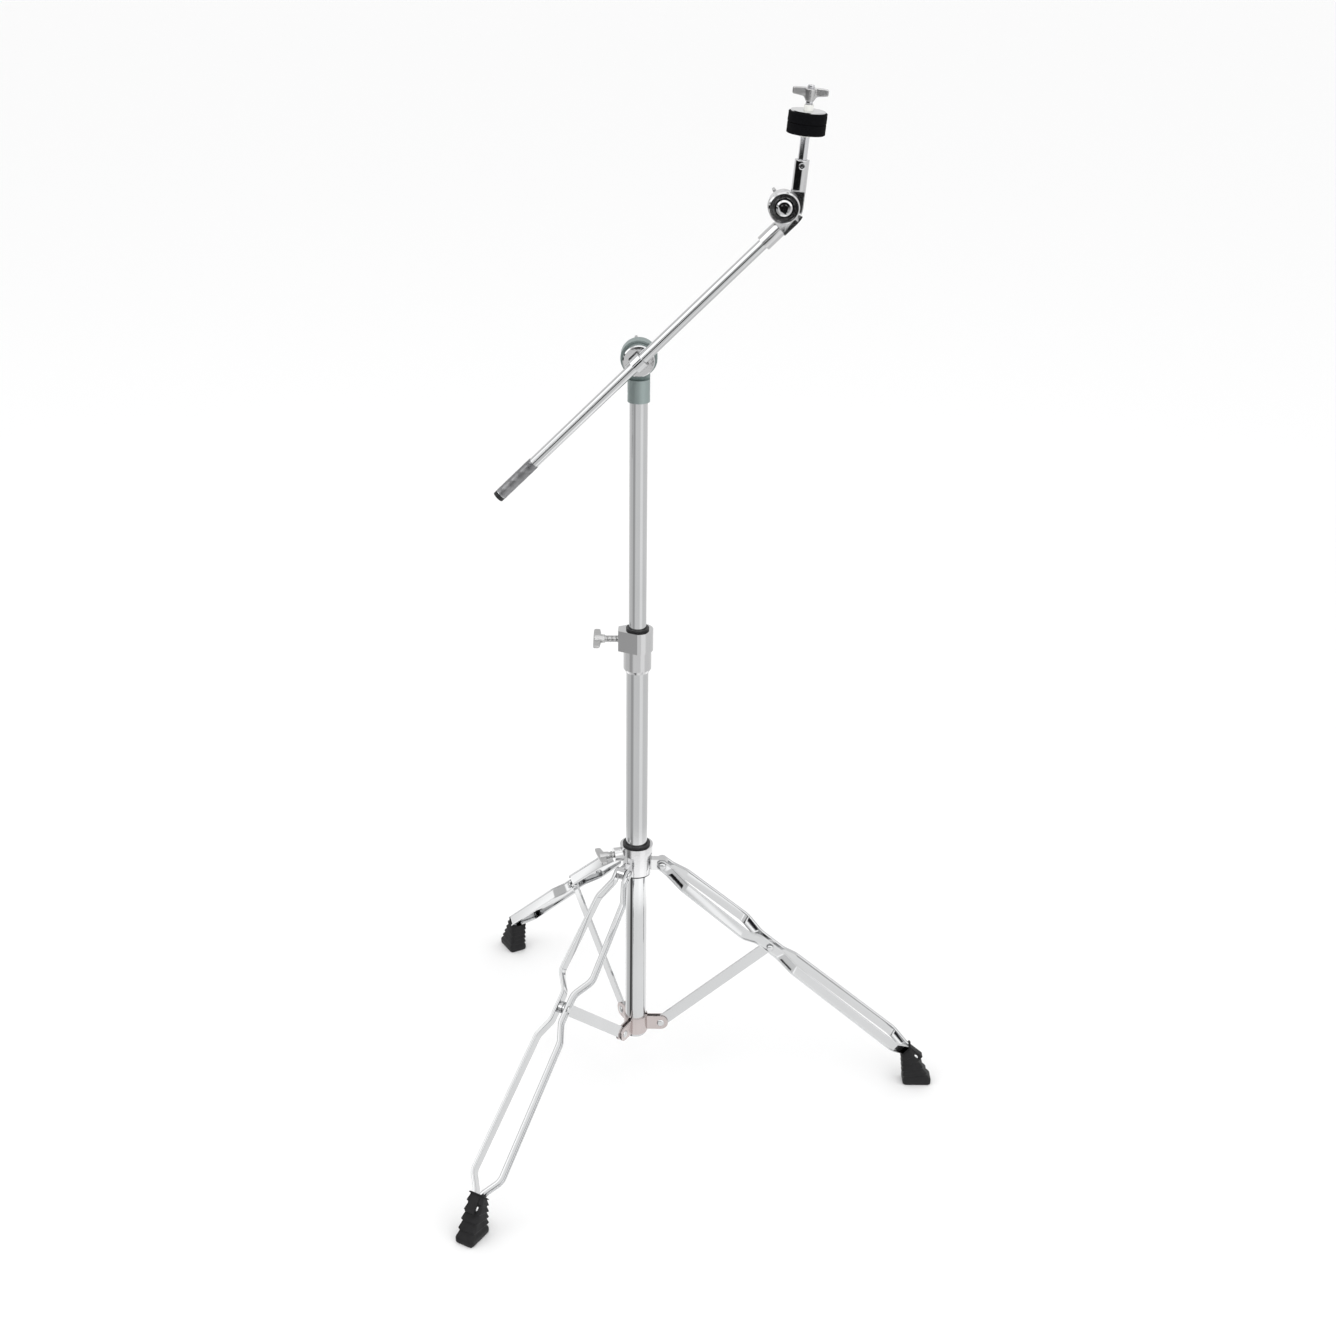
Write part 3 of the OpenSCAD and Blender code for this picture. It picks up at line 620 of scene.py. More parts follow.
def grain(tree, where, scale, detail=3, stretch=None, rough=0.55):
    """A noise value, stretched along an axis if asked."""
    if stretch:
        where = add(
            tree, "ShaderNodeMapping", {"Vector": where, "Scale": stretch}
        ).outputs[0]
    return add(
        tree,
        "ShaderNodeTexNoise",
        {"Vector": where, "Scale": scale, "Detail": detail, "Roughness": rough},
    ).outputs[0]


def ranged(tree, value, low, high, start=0.3, end=0.7):
    """A noise value mapped to a range."""
    return add(
        tree,
        "ShaderNodeMapRange",
        {
            "Value": value,
            "From Min": start,
            "From Max": end,
            "To Min": low,
            "To Max": high,
        },
    ).outputs[0]


def tinted(tree, value, one, other):
    """Two colours mixed by a value."""
    mixed = add(tree, "ShaderNodeMix", data_type="RGBA")
    tree.links.new(value, mixed.inputs[0])
    mixed.inputs[6].default_value = (*one, 1)
    mixed.inputs[7].default_value = (*other, 1)
    return mixed.outputs[2]


def bumped(tree, shader, height, strength, distance):
    """Gives a shader a bump."""
    bump = add(
        tree, "ShaderNodeBump", {"Height": height, "Strength": strength, "Distance": distance}
    )
    tree.links.new(bump.outputs[0], shader.inputs["Normal"])


def scaled(colour_value, factor):
    """A colour made lighter or darker."""
    return tuple(min(1.0, part * factor) for part in colour_value)


def metal(name, base, rough, vary, peel, peel_size, dull=0.93, stretch=None):
    """Plated or bare metal: smudges in its roughness, faint tarnish, and a fine surface."""
    material, tree, shader, where = finish_tree(name)
    smudge = grain(tree, where, 22, 4, stretch)
    fine = grain(tree, where, 140, 2, stretch)
    quarter = maths(tree, "MULTIPLY", fine, 0.25)
    blend = maths(tree, "MULTIPLY_ADD", smudge, 0.75, quarter)
    tree.links.new(
        ranged(tree, blend, max(0.01, rough - vary), rough + vary, 0.36, 0.64),
        shader.inputs["Roughness"],
    )
    tone = ranged(tree, grain(tree, where, 9, 3), 0, 1)
    tree.links.new(tinted(tree, tone, base, scaled(base, dull)), shader.inputs["Base Color"])
    shader.inputs["Metallic"].default_value = 1
    bumped(tree, shader, grain(tree, where, peel_size, 3, stretch), peel, 0.0004)
    return material


def plastic(name, base, rough, light=1.35, texture=900, depth=0.12, gloss=0.4):
    """Moulded nylon or rubber: mottled tone, uneven gloss and a fine moulded texture."""
    material, tree, shader, where = finish_tree(name)
    tone = ranged(tree, grain(tree, where, 45, 4), 0, 1)
    tree.links.new(tinted(tree, tone, base, scaled(base, light)), shader.inputs["Base Color"])
    tree.links.new(
        ranged(tree, grain(tree, where, 120, 3), rough - 0.1, rough + 0.1),
        shader.inputs["Roughness"],
    )
    shader.inputs["Specular IOR Level"].default_value = gloss
    bumped(tree, shader, grain(tree, where, texture, 2), depth, 0.0003)
    return material


def felt_finish(name, base):
    """Pressed felt: short fibres that lie every way, and a soft sheen."""
    material, tree, shader, where = finish_tree(name)
    lying = grain(tree, where, 260, 5, (1, 1, 3), 0.7)
    fibres = grain(tree, where, 900, 4, (1, 3, 1), 0.75)
    tone = ranged(tree, fibres, 0, 1, 0.35, 0.75)
    tree.links.new(tinted(tree, tone, base, scaled(base, 2.6)), shader.inputs["Base Color"])
    shader.inputs["Roughness"].default_value = 0.96
    shader.inputs["Specular IOR Level"].default_value = 0.06
    shader.inputs["Sheen Weight"].default_value = 0.012
    shader.inputs["Sheen Roughness"].default_value = 0.5
    bumped(tree, shader, maths(tree, "ADD", lying, fibres), 0.55, 0.0006)
    return material


FINISHES = {}


def finish(slot):
    """The finished material of a record slot."""
    if slot in FINISHES:
        return FINISHES[slot]
    colours = bpy.context.scene.stand_colours
    recipes = {
        "chrome": (metal, colours.chrome, colours.chrome_rough, 0.025, 0.03, 320, 0.95),
        "cast_chrome": (metal, colours.cast, colours.cast_rough, 0.04, 0.10, 420, 0.9),
        "nickel": (metal, colours.nickel, 0.27, 0.07, 0.18, 500, 0.82, (1, 1, 0.15)),
        "zinc": (metal, colours.zinc, 0.44, 0.08, 0.35, 1100, 0.78),
        "thread_steel": (metal, colours.steel, 0.16, 0.05, 0.10, 700, 0.85),
        "satin_cast": (metal, colours.satin, 0.30, 0.06, 0.22, 800, 0.86),
        "grip_steel": (metal, colours.grip, 0.28, 0.08, 0.2, 900, 0.7),
        "nylon_black": (plastic, colours.black_nylon, 0.42),
        "nylon_natural": (plastic, colours.natural_nylon, 0.38, 0.96, 700, 0.05),
        "rubber_black": (plastic, colours.rubber, 0.60, 1.8, 1300, 0.30, 0.25),
        "felt_black": (felt_finish, colours.felt),
    }
    make, base, *values = recipes[slot]
    FINISHES[slot] = make(slot, tuple(base), *values)
    return FINISHES[slot]


def settle(thing, body, slot, replaced=(), material=None):
    """Puts a finished piece in its body with its material, else its slot's finish, and hides the nodes it
    replaces.
    """
    paint = material or finish(slot)
    thing.data.materials.clear()
    thing.data.materials.append(paint)
    for polygon in thing.data.polygons:
        polygon.material_index = 0
    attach(thing, body)
    if replaced:
        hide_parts(*replaced)
    return thing


def body_of_node(node):
    """The body that a CAD node belongs to."""
    bodies = frame["record"]["behaviour"]["bodies"]
    return next(body for body, nodes in bodies.items() if node in nodes)


def slot_of_node(node):
    """The record slot of a CAD node."""
    return next(
        entry["material_slot"] for entry in frame["record"]["subparts"] if entry["node"] == node
    )


def cast_dress(node, passes):
    """Replaces a CAD casting with its own shape with the soft edges of a casting."""
    thing = one_casting(from_bmesh(node + "_finish", merged_copy(node)), passes)
    return settle(thing, body_of_node(node), slot_of_node(node), (node,))


def dress(node, width, segments=2, angle=28):
    """Replaces a CAD node with its own shape with eased edges, in its finished material."""
    thing = softened(node, width, segments, angle)
    return settle(thing, body_of_node(node), slot_of_node(node), (node,))


# ---- pieces ----


def strip_path(sizes):
    """Centre line of a strip: distance down the leg, distance from its middle plane."""
    top = -sizes.strip_height / 2
    middle = sizes.leg_span
    end = sizes.leg_length
    start = [(top * share_, sizes.gap_hub) for share_ in (0.985, 0.93, 0.82, 0.62, 0.34)]
    return start + [
        (0.012, sizes.gap_hub),
        (0.036, sizes.upper_in),
        (middle - 0.040, sizes.upper_out),
        (middle - 0.018, sizes.gap_middle),
        (middle + 0.018, sizes.gap_middle),
        (middle + 0.040, sizes.lower_in),
        (end - 0.022, sizes.lower_out),
        (end - 0.001, sizes.gap_foot),
        (end + sizes.tail, sizes.gap_foot),
    ]


def strip_section(sizes):
    """Section of a rolled channel, with its web on the positive side."""
    half, tall = sizes.strip_depth / 2, sizes.strip_height / 2
    sheet = sizes.strip_sheet
    corners = [
        (half, -tall),
        (half, tall),
        (-half, tall),
        (-half, tall - sheet),
        (half - sheet, tall - sheet),
        (half - sheet, -tall + sheet),
        (-half, -tall + sheet),
        (-half, -tall),
    ]
    lip = sheet * 0.45
    return rounded(corners, [0.0019, 0.0019, lip, lip, 0.0006, 0.0006, lip, lip], 5)


def strip_piece(side, number, sizes, material):
    """One swept strip in its leg's frame."""
    hand = 1 if number == 1 else -1
    bm = bmesh.new()
    flag = bm.verts.layers.bool.new("section")
    path = [bm.verts.new((x, hand * y, 0)) for x, y in strip_path(sizes)]
    for a, b in zip(path, path[1:]):
        bm.edges.new((a, b))
    loop = []
    for x, y in strip_section(sizes):
        vertex = bm.verts.new((hand * x, y, 0))
        vertex[flag] = True
        loop.append(vertex)
    for a, b in zip(loop, loop[1:] + loop[:1]):
        bm.edges.new((a, b))
    thing = from_bmesh(side + "_leg_strip_" + str(number) + "_finish", bm)
    grow(
        thing,
        tree_of(sweep_tree),
        {"Bend radius": sizes.bend, "Material": material},
    )
    half = sizes.strip_height / 2
    for vertex in thing.data.vertices:
        if vertex.co.x < 0:
            vertex.co.z *= math.sqrt(max(0.0, 1 - (vertex.co.x / half) ** 2))
    outwards(thing)
    thing.data.transform(leg_place(side, sizes.leg_slope))
    shade(thing.data, 40)
    return thing


def foot_rings(sizes, at_mouth):
    """Rings of a foot from the back of its mouth, round its ribs, to its sole."""
    slope_ = sizes.leg_slope
    reach_, tall = at_mouth
    half = sizes.mouth_half
    mouth = Vector((reach_, tall))
    across = Vector((math.sin(slope_), math.cos(slope_)))
    into = Vector((math.cos(slope_), -math.sin(slope_)))
    up, down = mouth + across * half, mouth - across * half
    back, corner_ = reach_ - 0.002, 0.0042
    heel, toe = Vector((back, 0.006)), Vector((back + sizes.foot_sole, 0.007))
    rings = []

    def ring(t, inset):
        a, b = down.lerp(heel, t), up.lerp(toe, t)
        along = (b - a).normalized()
        a, b = a + along * inset, b - along * inset
        wide = (sizes.foot_neck + (sizes.foot_width - sizes.foot_neck) * t) / 2 - inset
        return flat_ring(a, b, wide, corner_)

    def flat_ring(a, b, wide, corner):
        centre, half_long = (a + b) / 2, (b - a).length / 2
        along = (b - a).normalized()
        outline = rounded(
            [(half_long, -wide), (half_long, wide), (-half_long, wide), (-half_long, -wide)],
            corner,
            5,
        )
        out = []
        for u, v in outline:
            p = centre + along * u
            out.append(Vector((p.x, v, p.y)))
        return out

    pocket_half = 0.0069
    inner_up, inner_down = mouth + across * pocket_half, mouth - across * pocket_half
    pocket = sizes.gap_foot + sizes.strip_depth / 2 + 0.0002
    rings.append(flat_ring(inner_down + into * 0.0225, inner_up + into * 0.0225, pocket, 0.001))
    rings.append(flat_ring(inner_down + into * 0.001, inner_up + into * 0.001, pocket, 0.001))
    rings.append(flat_ring(inner_down, inner_up, pocket + 0.0006, 0.0014))
    rings.append(ring(0.0, 0.0011))
    rings.append(ring(0.012, 0.0002))
    rings.append(ring(0.03, 0.0))
    n = sizes.ribs
    for i in range(n):
        for at, inset in ((0.04, 0.10), (0.10, 0.55), (0.20, 0.95), (0.32, 1.0), (0.62, 0.55)):
            if i == 0 and at < 0.2:
                continue
            rings.append(ring((i + at) / n, inset * sizes.rib_depth))
        if i < n - 1:
            rings.append(ring((i + 0.94) / n, 0.08 * sizes.rib_depth))
            rings.append(ring((i + 1.0) / n, 0.0))
    rings.append(ring(0.97, 0.0002))
    rings.append(ring(1.0, 0.0))
    wide = sizes.foot_width / 2
    for height, inset in ((0.0030, 0.0), (0.0012, 0.0003), (0.0004, 0.0009), (0.0, 0.0018)):
        a, b = Vector((heel.x + inset, height)), Vector((toe.x - inset, height))
        rings.append(flat_ring(a, b, wide - inset, corner_))
    return rings


def foot_piece(side, sizes):
    """One moulded foot."""
    hub = pivot(side + "_leg_hinge")
    away = math.hypot(hub.x, hub.y)
    mouth = (away + sizes.leg_length * math.cos(sizes.leg_slope), sizes.foot_height)
    bm = loft(foot_rings(sizes, mouth))
    heading = math.atan2(hub.y, hub.x)
    bmesh.ops.transform(bm, matrix=Matrix.Rotation(heading, 4, "Z"), verts=bm.verts)
    bmesh.ops.recalc_face_normals(bm, faces=bm.faces)
    thing = from_bmesh(side + "_foot_finish", bm)
    shade(thing.data, 50)
    return thing


def rivets(name, spots, head, dome, shank):
    """Domed rivets: spots holds (centre, axis, half length, joined), in metres."""
    points = bmesh.new()
    aim = points.verts.layers.float_vector.new("aim")
    shanks = []
    for centre, along, half, joined in spots:
        for hand in (-1, 1):
            vertex = points.verts.new(centre + along * half * hand)
            vertex[aim] = along * hand
        if joined:
            core = lathe([(AXIS, -half), (shank, -half), (shank, half), (AXIS, half)], 32)
            upright = stand_up(centre, along, Vector((0.3, 0.2, 0.9)))
            bmesh.ops.transform(core, matrix=upright, verts=core.verts)
            shanks.append(from_bmesh(name + "_shank", core))
    heads = grow(
        from_bmesh(name + "_heads", points),
        tree_of(rivet_tree),
        {"Head radius": head, "Dome height": dome, "Material": finish("chrome")},
    )
    thing = join(name, [heads] + shanks)
    shade(thing.data, 50)
    return thing


def wing_profile(sizes):
    """Side outline of a pair of wings."""
    hub, half, tall = sizes.wing_hub, sizes.wing_span / 2, sizes.wing_height
    lower = [(hub * 0.82, tall * 0.05), (hub + 0.001, tall * 0.33), (half - 0.006, tall * 0.40)]
    tip = [(half - 0.0004, tall * 0.45), (half - 0.0002, tall * 0.96)]
    upper = [(half - 0.005, tall * 0.99), (hub + 0.002, tall)]
    side = lower + tip + upper
    return side + [(-x, z) for x, z in reversed(side)]


def wing_head(name, sizes):
    """A cast pair of wings on a hub, standing on z = 0 with its wings along x."""
    hub = sizes.wing_hub
    tall = sizes.wing_height
    core = lathe(
        rounded(
            [(0.0002, 0), (hub - 0.0009, 0), (hub, tall - 0.0012), (0.0002, tall - 0.0012)],
            [0, 0.0006, 0.0009, 0],
        ),
        64,
    )
    outline = rounded(wing_profile(sizes), 0.0016, 4)
    rings = []
    thick = sizes.wing_thick / 2
    for y, inset in ((-1, 0.0008), (-0.72, 0.0), (0.72, 0.0), (1, 0.0008)):
        ring = []
        for x, z in outline:
            thin = 1 - 0.28 * min(1, abs(x) / (sizes.wing_span / 2))
            dx = -math.copysign(min(inset, abs(x)), x)
            dz = inset if z < tall * 0.6 else -inset
            ring.append(Vector((x + dx, y * thick * thin, z + dz)))
        rings.append(ring)
    thing = join(name, [from_bmesh(name + "_hub", core), from_bmesh(name + "_blade", loft(rings))])
    return one_casting(thing, 5)


def threaded(name, radius, low, high, pitch, material):
    """A threaded rod along z: a core with a ridge wound round it."""
    depth = pitch * 0.42
    core = lathe(
        [(AXIS, low), (radius - depth, low), (radius - depth, high), (AXIS, high)], 40
    )
    ridge = new_object(name + "_ridge", bpy.data.meshes.new(name))
    tall = high - low - pitch
    grow(
        ridge,
        tree_of(helix_tree),
        {
            "Radius": radius - pitch * 0.46,
            "Height": tall,
            "Turns": tall / pitch,
            "Ridge": pitch * 0.46,
            "Steps": 28,
            "Left hand": False,
            "Material": material,
        },
    )
    ridge.data.transform(Matrix.Translation((0, 0, low + pitch / 2)))
    outwards(ridge)
    return join(name, [from_bmesh(name + "_core", core), ridge])


def rosette(name, inner, outer, tall, teeth, material):
    """A ring of radial teeth on z = 0, pointing up."""
    wide = math.pi * (inner + outer) / teeth * 0.46
    bm = bmesh.new()
    rings = []
    for r, part in ((inner, 0.6), (inner + 0.0006, 1.0), (outer - 0.0006, 1.0), (outer, 0.6)):
        w = wide * r / outer * 0.95
        crest, top, foot = w * 0.2, tall * part, -0.0002
        rings.append([(r, -w, foot), (r, -crest, top), (r, crest, top), (r, w, foot)])
    rows = [[bm.verts.new(p) for p in ring] for ring in rings]
    for a, b in zip(rows, rows[1:]):
        for i in range(4):
            j = (i + 1) % 4
            bm.faces.new((a[i], a[j], b[j], b[i]))
    bm.faces.new(rows[0])
    bm.faces.new(list(reversed(rows[-1])))
    bmesh.ops.recalc_face_normals(bm, faces=bm.faces)
    thing = from_bmesh(name, bm)
    grow(thing, tree_of(ring_tree), {"Count": teeth, "Material": material})
    return thing


def felt_piece(node, sizes, seed):
    """A pressed felt ring with rounded, slightly uneven faces."""
    origin, along = pivot("top_nut_turn"), axis_of("top_nut_turn")
    low, high = reach(node, origin, along)
    far = [
        ((vertex.co - origin) - along * (vertex.co - origin).dot(along)).length
        for vertex in frame["nodes"][node].data.vertices
    ]
    inner, outer = min(far), max(far)
    edge = sizes.felt_round
    outline = [(inner, low), (outer, low), (outer, high), (inner, high)]
    profile = rounded(outline, [0.0005, edge, edge, 0.0005], 5)
    dense = []
    for a, b in zip(profile, profile[1:] + profile[:1]):
        steps = max(1, int((b - a).length / 0.0011))
        dense += [a.lerp(b, k / steps) for k in range(steps)]
    bm = lathe(dense, 128)
    fuzz = sizes.felt_fuzz
    for vertex in bm.verts:
        r = math.hypot(vertex.co.x, vertex.co.y)
        if r < inner + 0.002:
            continue
        wander = noise.noise(vertex.co * 160 + Vector((seed, 0, 0)))
        wander += 0.5 * noise.noise(vertex.co * 620 + Vector((0, seed, 0)))
        inward = min(0.0, wander - 0.45) * fuzz
        out = Vector((vertex.co.x / r, vertex.co.y / r, 0))
        mid = (low + high) / 2
        upright = (vertex.co.z - mid) / (high - mid)
        vertex.co += out * inward * (1 - abs(upright) ** 4) + Vector((0, 0, inward * upright * 0.4))
    bmesh.ops.transform(bm, matrix=stand_up(origin, along, Vector((1, 0, 0))), verts=bm.verts)
    thing = from_bmesh(node + "_finish", bm)
    shade(thing.data, 60)
    return thing


# ---- operators ----


class STAND_OT_tubes(bpy.types.Operator):
    """Finish the column's tubes and the small turned pieces of the stand"""

    bl_idname = "stand.tubes"
    bl_label = "Tubes and turned pieces"

    def execute(self, context):
        for node in ("lower_tube", "upper_tube"):
            dress(node, 0.0003)
        for node in ("upper_tube_plug", "boom_end_cap", "cymbal_sleeve", "neck_pin", "socket_pin"):
            dress(node, 0.00035)
        for node in ("boom_washer", "tilter_washer", "felt_washer", "post_screw", "eye_bolt"):
            dress(node, 0.0003)
        return {"FINISHED"}


class STAND_OT_boom(bpy.types.Operator):
    """Finish the boom's tube and wind the knurling on its grip"""

    bl_idname = "stand.boom"
    bl_label = "Boom and grip"

    def execute(self, context):
        sizes = context.scene.stand_hardware
        dress("boom_tube", 0.0003)
        origin, along = pivot("boom_roll"), axis_of("boom_roll")
        low, _ = reach("boom_tube", origin, along)
        steel = finish("grip_steel")
        things = []
        for left in (False, True):
            ridge = new_object("ridge", bpy.data.meshes.new("ridge"))
            height = sizes.knurl_length - 0.001
            grow(
                ridge,
                tree_of(helix_tree),
                {
                    "Radius": sizes.knurl_radius - 0.00012,
                    "Height": height,
                    "Turns": height / (2 * math.pi * sizes.knurl_radius),
                    "Ridge": 0.00034,
                    "Steps": 40,
                    "Left hand": left,
                    "Material": steel,
                },
            )
            grow(ridge, tree_of(ring_tree), {"Count": sizes.knurl_count, "Material": steel})
            things.append(outwards(ridge))
        sleeve = sizes.knurl_radius + 0.00004
        bore = sizes.knurl_radius - 0.0003
        outline = [(bore, 0), (sleeve, 0), (sleeve, height), (bore, height)]
        things.append(from_bmesh("sleeve", lathe(outline, 64)))
        grip = join("boom_grip_knurling", things)
        start = origin + along * (low + 0.0005)
        grip.data.transform(stand_up(start, along, Vector((0, -1, 0))))
        shade(grip.data, 30)
        settle(grip, "boom", "chrome", (), steel)
        return {"FINISHED"}


class STAND_OT_legs(bpy.types.Operator):
    """Sweep the six leg strips along their bent paths"""

    bl_idname = "stand.legs"
    bl_label = "Leg strips"

    def execute(self, context):
        sizes = context.scene.stand_legs
        for side in SIDES:
            for number in (1, 2):
                thing = strip_piece(side, number, sizes, finish("chrome"))
                node = side + "_leg_strip_" + str(number)
                settle(thing, side + "_leg", "chrome", (node,))
        return {"FINISHED"}


class STAND_OT_feet(bpy.types.Operator):
    """Mould the three ribbed rubber feet"""

    bl_idname = "stand.feet"
    bl_label = "Feet"

    def execute(self, context):
        for side in SIDES:
            thing = foot_piece(side, context.scene.stand_legs)
            settle(thing, side + "_leg", "rubber_black", (side + "_foot",))
        return {"FINISHED"}


class STAND_OT_stays(bpy.types.Operator):
    """Finish the three stays and their centring spools"""

    bl_idname = "stand.stays"
    bl_label = "Stays"

    def execute(self, context):
        for side in SIDES:
            dress(side + "_stay", 0.0007, 3)
            dress(side + "_stay_bush", 0.0003)
            dress(side + "_end_rivet", 0.0003)
        return {"FINISHED"}


class STAND_OT_bracket(bpy.types.Operator):
    """Finish the stamped bracket plates at the foot of the column"""

    bl_idname = "stand.bracket"
    bl_label = "Bracket plates"

    def execute(self, context):
        for number in (1, 2, 3):
            dress("bracket_plate_" + str(number), 0.0006, 3)
        return {"FINISHED"}


class STAND_OT_rivets(bpy.types.Operator):
    """Set the domed rivets of the hub, the bracket and the middle pivots"""

    bl_idname = "stand.rivets"
    bl_label = "Pivot rivets"

    def execute(self, context):
        sizes = context.scene.stand_hardware
        legs = context.scene.stand_legs
        hub_half = legs.gap_hub + legs.strip_depth / 2 + 0.0004
        ear_half = 0.0039
        spots = {"leg": [], "stay": []}
        for side in SIDES:
            across = axis_of(side + "_leg_hinge")
            spots["leg"].append((pivot(side + "_leg_hinge"), across, hub_half, True))
            spots["stay"].append((pivot(side + "_stay_hinge"), across, ear_half, True))
            middle = leg_place(side, legs.leg_slope) @ Vector((legs.leg_span, 0, 0))
            half = legs.gap_middle + legs.strip_depth / 2
            ends = rivets(
                side + "_mid_rivet_heads",
                [(middle, across, half, False)],
                sizes.rivet_head * 0.9,
                sizes.rivet_dome,
                0.0025,
            )
            settle(ends, side + "_leg", "chrome", (side + "_mid_rivet",))
        head, dome = sizes.rivet_head, sizes.rivet_dome
        for kind, body in (("leg", "hub"), ("stay", "column")):
            thing = rivets(kind + "_pivot_rivet_set", spots[kind], head, dome, 0.003)
            settle(thing, body, "chrome", (kind + "_pivot_rivets",))
        return {"FINISHED"}


class STAND_OT_castings(bpy.types.Operator):
    """Finish the hub, the height clamp and their bushes"""

    bl_idname = "stand.castings"
    bl_label = "Hub and height clamp"

    def execute(self, context):
        dress("hub_casting", 0.0008, 3)
        dress("clamp_casting", 0.0012, 4)
        for node in ("hub_bush", "clamp_bush"):
            dress(node, 0.0004)
        return {"FINISHED"}


class STAND_OT_tilters(bpy.types.Operator):
    """Finish the boom tilter and the cymbal tilter, and cut the teeth on their faces"""

    bl_idname = "stand.tilters"
    bl_label = "Tilters"

    def execute(self, context):
        sizes = context.scene.stand_hardware
        dress("tilter_base", 0.0008, 3)
        dress("boom_saddle", 0.0016, 5)
        dress("boom_socket", 0.0006, 3)
        cast_dress("tilter_arm", 16)
        dress("tilter_bolt", 0.0004)
        towards = Vector((0, -1, 0))
        # node, joint, way the teeth face, their root's place that way, inner and outer radius, height
        sets = (
            ("tilter_base", "boom_tilt", towards, 0.003, 0.0100, 0.0172, 0.00085),
            ("boom_saddle", "boom_tilt", -towards, -0.005, 0.0100, 0.0172, 0.00085),
            ("boom_socket", "cymbal_tilt", -towards, -0.0009, 0.0090, 0.0162, 0.00075),
            ("tilter_arm", "cymbal_tilt", towards, -0.0009, 0.0090, 0.0162, 0.00075),
        )
        for node, joint, facing, parting, inner, outer, tall in sets:
            origin = pivot(joint)
            teeth = rosette(
                node + "_teeth", inner, outer, tall, sizes.teeth, finish(slot_of_node(node))
            )
            teeth.data.transform(stand_up(origin + facing * parting, facing, Vector((1, 0, 0))))
            shade(teeth.data, 20)
            settle(teeth, body_of_node(node), slot_of_node(node))
        return {"FINISHED"}


class STAND_OT_wings(bpy.types.Operator):
    """Cast the three wing nuts and the two wing bolts"""

    bl_idname = "stand.wings"
    bl_label = "Wing nuts and bolts"

    def execute(self, context):
        sizes = context.scene.stand_hardware
        tall = sizes.wing_height
        wings = (
            ("height_wing_bolt", "height_bolt_turn", True),
            ("hub_wing_bolt", "hub_bolt_turn", True),
            ("boom_wing_nut", "boom_nut_turn", False),
            ("tilter_wing_nut", "tilter_nut_turn", False),
            ("top_wing_nut", "top_nut_turn", False),
        )
        for node, joint, bolt in wings:
            origin, along = pivot(joint), axis_of(joint)
            low, high = reach(node, origin, along)
            across = widest(node, origin, along)
            base = high - tall if bolt else low
            parts = [wing_head(node + "_cast", sizes)]
            if bolt:
                radius, steel = sizes.thread_radius, finish("cast_chrome")
                parts.append(threaded("shank", radius, low - base, 0.0006, sizes.pitch, steel))
            thing = join(node + "_finish", parts)
            thing.data.transform(stand_up(origin + along * base, along, across))
            shade(thing.data, 45)
            satin = finish("satin_cast")
            settle(thing, body_of_node(node), slot_of_node(node), (node,), satin)
        return {"FINISHED"}


class STAND_OT_post(bpy.types.Operator):
    """Turn the cymbal post and cut its thread"""

    bl_idname = "stand.post"
    bl_label = "Cymbal post"

    def execute(self, context):
        sizes = context.scene.stand_hardware
        origin, along = pivot("top_nut_turn"), axis_of("top_nut_turn")
        low, high = reach("cymbal_post", origin, along)
        sleeve_low, sleeve_high = reach("cymbal_sleeve", origin, along)
        shoulder = sleeve_low - 0.0001
        thick, thin = sizes.thread_radius + 0.0007, sizes.thread_radius
        root = thin - 0.0006
        below = [(AXIS, low), (thick, low), (thick, shoulder)]
        above = [(root, shoulder), (root, high), (AXIS, high)]
        profile = rounded(below + above, [0, 0.0004, 0.0004, 0, 0.0008, 0])
        rod = from_bmesh("rod", lathe(profile, 64))
        start, end, steel = sleeve_high - 0.006, high - 0.0006, finish("thread_steel")
        thread = threaded("thread", thin, start, end, sizes.post_pitch, steel)
        post = join("cymbal_post_finish", [rod, thread])
        post.data.transform(stand_up(origin, along, Vector((1, 0, 0))))
        shade(post.data, 40)
        settle(post, "post_arm", "thread_steel", ("cymbal_post",))
        return {"FINISHED"}


class STAND_OT_felts(bpy.types.Operator):
    """Press the two felts"""

    bl_idname = "stand.felts"
    bl_label = "Felts"

    def execute(self, context):
        sizes = context.scene.stand_hardware
        for seed, node in enumerate(("lower_felt", "upper_felt")):
            thing = felt_piece(node, sizes, 7.3 + 4.1 * seed)
            settle(thing, body_of_node(node), "felt_black", (node,))
        return {"FINISHED"}


def glow(name, build):
    """A stage material that shines by itself."""
    material = bpy.data.materials.new(name)
    material.use_nodes = True
    tree = material.node_tree
    tree.nodes.clear()
    light = tree.nodes.new("ShaderNodeEmission")
    output = tree.nodes.new("ShaderNodeOutputMaterial")
    tree.links.new(light.outputs[0], output.inputs[0])
    build(tree, light)
    return material


def square(name, half, height):
    """A level square plane."""
    bm = bmesh.new()
    corners = ((-half, -half), (half, -half), (half, half), (-half, half))
    bm.faces.new([bm.verts.new((x, y, height)) for x, y in corners])
    return from_bmesh(name, bm)


